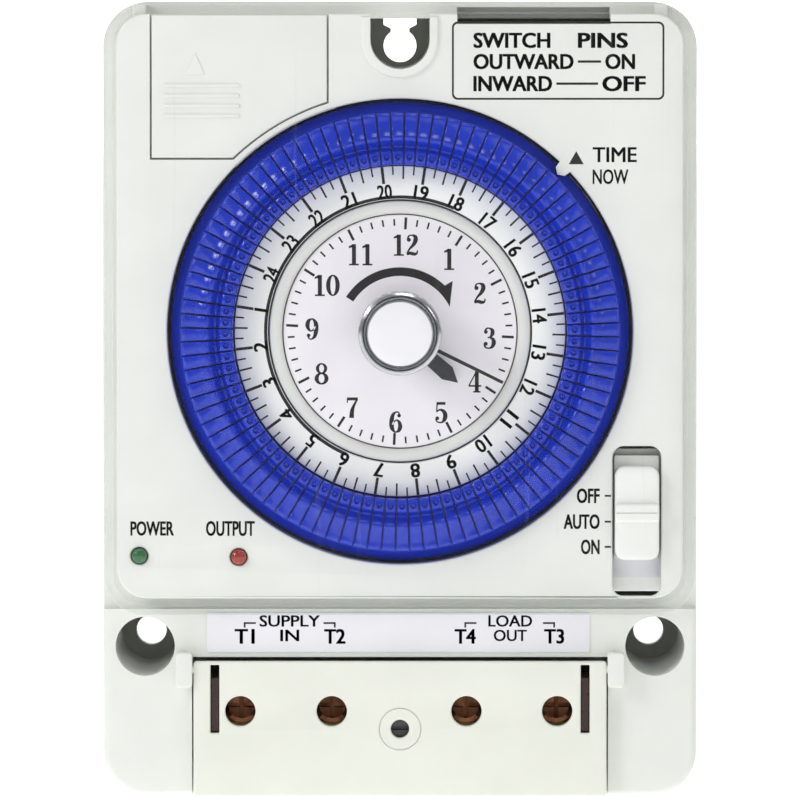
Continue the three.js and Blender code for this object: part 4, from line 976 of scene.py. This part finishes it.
def build_hands():
    shape = [(-1.15, 2.4), (-1.35, 10.6), (0, 13.0), (1.35, 10.6), (1.15, 2.4)]
    hand = plate("hour_hand_bar", [moved(shape, DIAL, HOUR_ANGLE)], 44.0, 44.6, 0.12)
    core = [(-0.85, 2.6), (-1.02, 10.4), (0, 12.3), (1.02, 10.4), (0.85, 2.6)]
    groove = plate("t", [moved(shape, DIAL, HOUR_ANGLE, 1.02), moved(core, DIAL, HOUR_ANGLE)], 44.52, 46)
    hand = cut(hand, groove)
    hand = fuse(hand, rod("t", 3.2, 44.0, 44.6, DIAL, 64, 0.12))
    piece(hand, "hour_wheel", LOOKS["hour_hand"], "hour_hand", slot="hands")
    thin = [(-0.34, 2.2), (-0.26, 19.2), (0.26, 19.2), (0.34, 2.2)]
    hand = plate("minute_hand_bar", [moved(thin, DIAL, MINUTE_ANGLE)], 46.4, 46.9, 0.08)
    hand = fuse(hand, rod("t", 2.6, 46.4, 46.9, DIAL, 48, 0.1))
    piece(hand, "minute_arbor", LOOKS["hands"], "minute_hand", slot="hands")


def build_knob():
    ring = [(0, 47.6), (6.6, 47.6), (6.9, 47.8), (7.0, 48.2), (7.0, 53.2), (6.85, 53.6), (6.5, 53.85),
            (6.3, 53.7), (6.22, 52.2), (5.95, 52.0), (5.75, 52.2), (5.7, 54.1), (5.6, 54.3), (5.5, 54.1),
            (5.5, 52.9), (0, 52.9)]
    grips = [rod("t", 0.35, 46, 53.0, DIAL + polar(7.15, 15 * i), 10) for i in range(24)]
    knob = cut(lathe("knob_ring", ring, DIAL, 96), *grips)
    piece(knob, "minute_arbor", LOOKS["knob"], "setting_knob", slot="knob")
    cap = [(0, 52.9), (5.4, 52.9), (5.4, 54.1), (5.3, 54.3), (5.1, 54.4), (3.2, 54.36), (0, 54.3)]
    piece(lathe("knob_button", cap, DIAL, 96), "minute_arbor", LOOKS["knob_cap"], "knob_cap", slot="knob_cap")


# ------------------------------------------------------------------ slider and lamps


def build_switch():
    x, y = SWITCH
    well = block("switch_well", x - 4.9, x + 4.9, y - 12.05, y + 12.05, 35.1, 40.2, 0.15, 0.3)
    piece(well, "case", LOOKS["switch_body"], "slide_switch", slot="switch_body")
    strip = block("switch_strip", x - 4.3, x + 4.3, y - 9.8, y + 10.75, 40.1, 40.45, 0.08, 0.4)
    piece(strip, "case", LOOKS["label"])
    base = block("slider_thumb", x - 3.8, x + 3.8, y - 6.4, y + 11.0, 40.5, 42.2, 0.15, 0.4)
    thumb = block("t", x - 3.7, x + 3.7, y - 6.4, y + 9.3, 41.8, 46.4, 0.55, 1.7)
    ridge = block("t", x - 3.7, x + 3.7, y + 0.1, y + 3.1, 45.6, 47.4, 0.35, 0.36)
    thumb = fuse(base, thumb, ridge)
    thumb = cut(thumb, block("t", x - 3.5, x + 3.5, y + 1.45, y + 1.75, 47.15, 48))
    piece(thumb, "mode_slider", LOOKS["slider"], "mode_slider", slot="slider", bevel=0.1, angle=40)
    for name, at in LAMPS.items():
        x0, x1, y0, y1, z0, z1 = face_box(name)
        dome = [(0, z0), (1.28, z0), (1.28, z1 - 0.9), (1.2, z1 - 0.5), (0.95, z1 - 0.2), (0.5, z1 - 0.04),
                (0, z1)]
        look = "green_lens" if name == "power_lamp" else "red_lens"
        piece(lathe(f"{name}_lens", dome, at, 40), "case", LOOKS[look], name, slot=look)


# ------------------------------------------------------------------ pieces that keep their own mesh

INNER = {
    "terminal_block": "terminal_block", "movement_back_plate": "brass", "movement_front_plate": "brass",
    "motor": "steel", "motor_pinion": "brass", "third_wheel": "brass", "centre_wheel": "brass",
    "centre_arbor": "steel", "minute_wheel": "nylon", "hour_wheel": "nylon", "dial_drive_wheel": "nylon",
    "follower_lever": "steel", "microswitch": "switch_case", "switch_plunger": "plunger",
    "circuit_board": "board", "relay": "switch_case", "capacitor": "sleeve",
    # The cover screw gets the darkened steel, painted shade for its deep hole.
    "backup_battery": "battery", "battery_cradle": "panel", "cover_screw": "dark_steel",
}
INNER.update({f"terminal_plate_{i}": "brass" for i in (1, 2, 3, 4)})
INNER.update({f"terminal_screw_{i}": "copper" for i in (1, 2, 3, 4)})
INNER.update({f"case_screw_{i}": "steel" for i in (1, 2, 3, 4)})


def dress_inner():
    for name, look in INNER.items():
        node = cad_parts[name]
        node.data.materials.clear()
        node.data.materials.append(LOOKS[look])
        soften(node, 0.12)
        node.modifiers["edges"].harden_normals = False


build_case()
build_panel()
build_panel_print()
build_battery_door()
build_cover()
build_terminals()
build_label()
build_dial()
build_day_dial()
build_clock()
build_hands()
build_knob()
build_switch()
dress_inner()

# ------------------------------------------------------------------ floor, light and camera


def sheet_of_light(name, corners, colour, glow):
    """A plain staged sheet, which adds a little light of its own so that it stays white."""
    paper = Surface(f"{name}_paper", (colour,) * 3, 0.95)
    paper.mottle(3, 0.99, 1.0)
    paper.shader.inputs["Emission Color"].default_value = (1, 1, 1, 1)
    paper.shader.inputs["Emission Strength"].default_value = glow
    mesh = bpy.data.meshes.new(name)
    mesh.from_pydata(corners, [], [(0, 1, 2, 3)])
    mesh.materials.append(paper.material)
    put(name, mesh)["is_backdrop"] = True


def stage():
    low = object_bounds()[0].z - 0.0004
    sheet_of_light("floor", [(-6, -6, low), (6, -6, low), (6, 6, low), (-6, 6, low)], 0.9, 0.68)
    sheet_of_light("backdrop", [(-1.2, 6, low), (1.2, 6, low), (1.2, 6, 1.4), (-1.2, 6, 1.4)], 0.9, 0.85)
    world = bpy.data.worlds.new("studio")
    bpy.context.scene.world = world
    world.use_nodes = True
    world.node_tree.nodes["Background"].inputs["Color"].default_value = (1, 1, 1, 1)
    world.node_tree.nodes["Background"].inputs["Strength"].default_value = 0.34
    for name, place, size, power in (
        ("left_softbox", (-0.85, -0.62, 0.55), 0.34, 4.2),
        ("right_softbox", (0.75, -0.8, 0.45), 0.3, 0.9),
        ("top_softbox", (0.1, -0.35, 0.95), 0.4, 1.7),
    ):
        light = bpy.data.lights.new(name, "AREA")
        light.size = size
        light.energy = power
        lamp = put(name, light)
        lamp.location = place
        aim = Vector((0, -0.04, 0)) - Vector(place)
        lamp.rotation_euler = aim.to_track_quat("-Z", "Y").to_euler()


def camera():
    lens_mm, distance, elevation = 374.0, 1.4, math.radians(2.8)
    target = Vector((0, -0.04, 0))
    data = bpy.data.cameras.new("camera")
    data.lens = lens_mm
    data.sensor_width = 36
    data.clip_start, data.clip_end = 0.1, 60
    eye = put("camera", data)
    back = Vector((0, -math.cos(elevation), math.sin(elevation)))
    eye.location = target + back * distance
    eye.rotation_euler = (-back).to_track_quat("-Z", "Y").to_euler()
    bpy.context.scene.camera = eye


stage()
camera()
bpy.context.scene.view_settings.view_transform = "Standard"
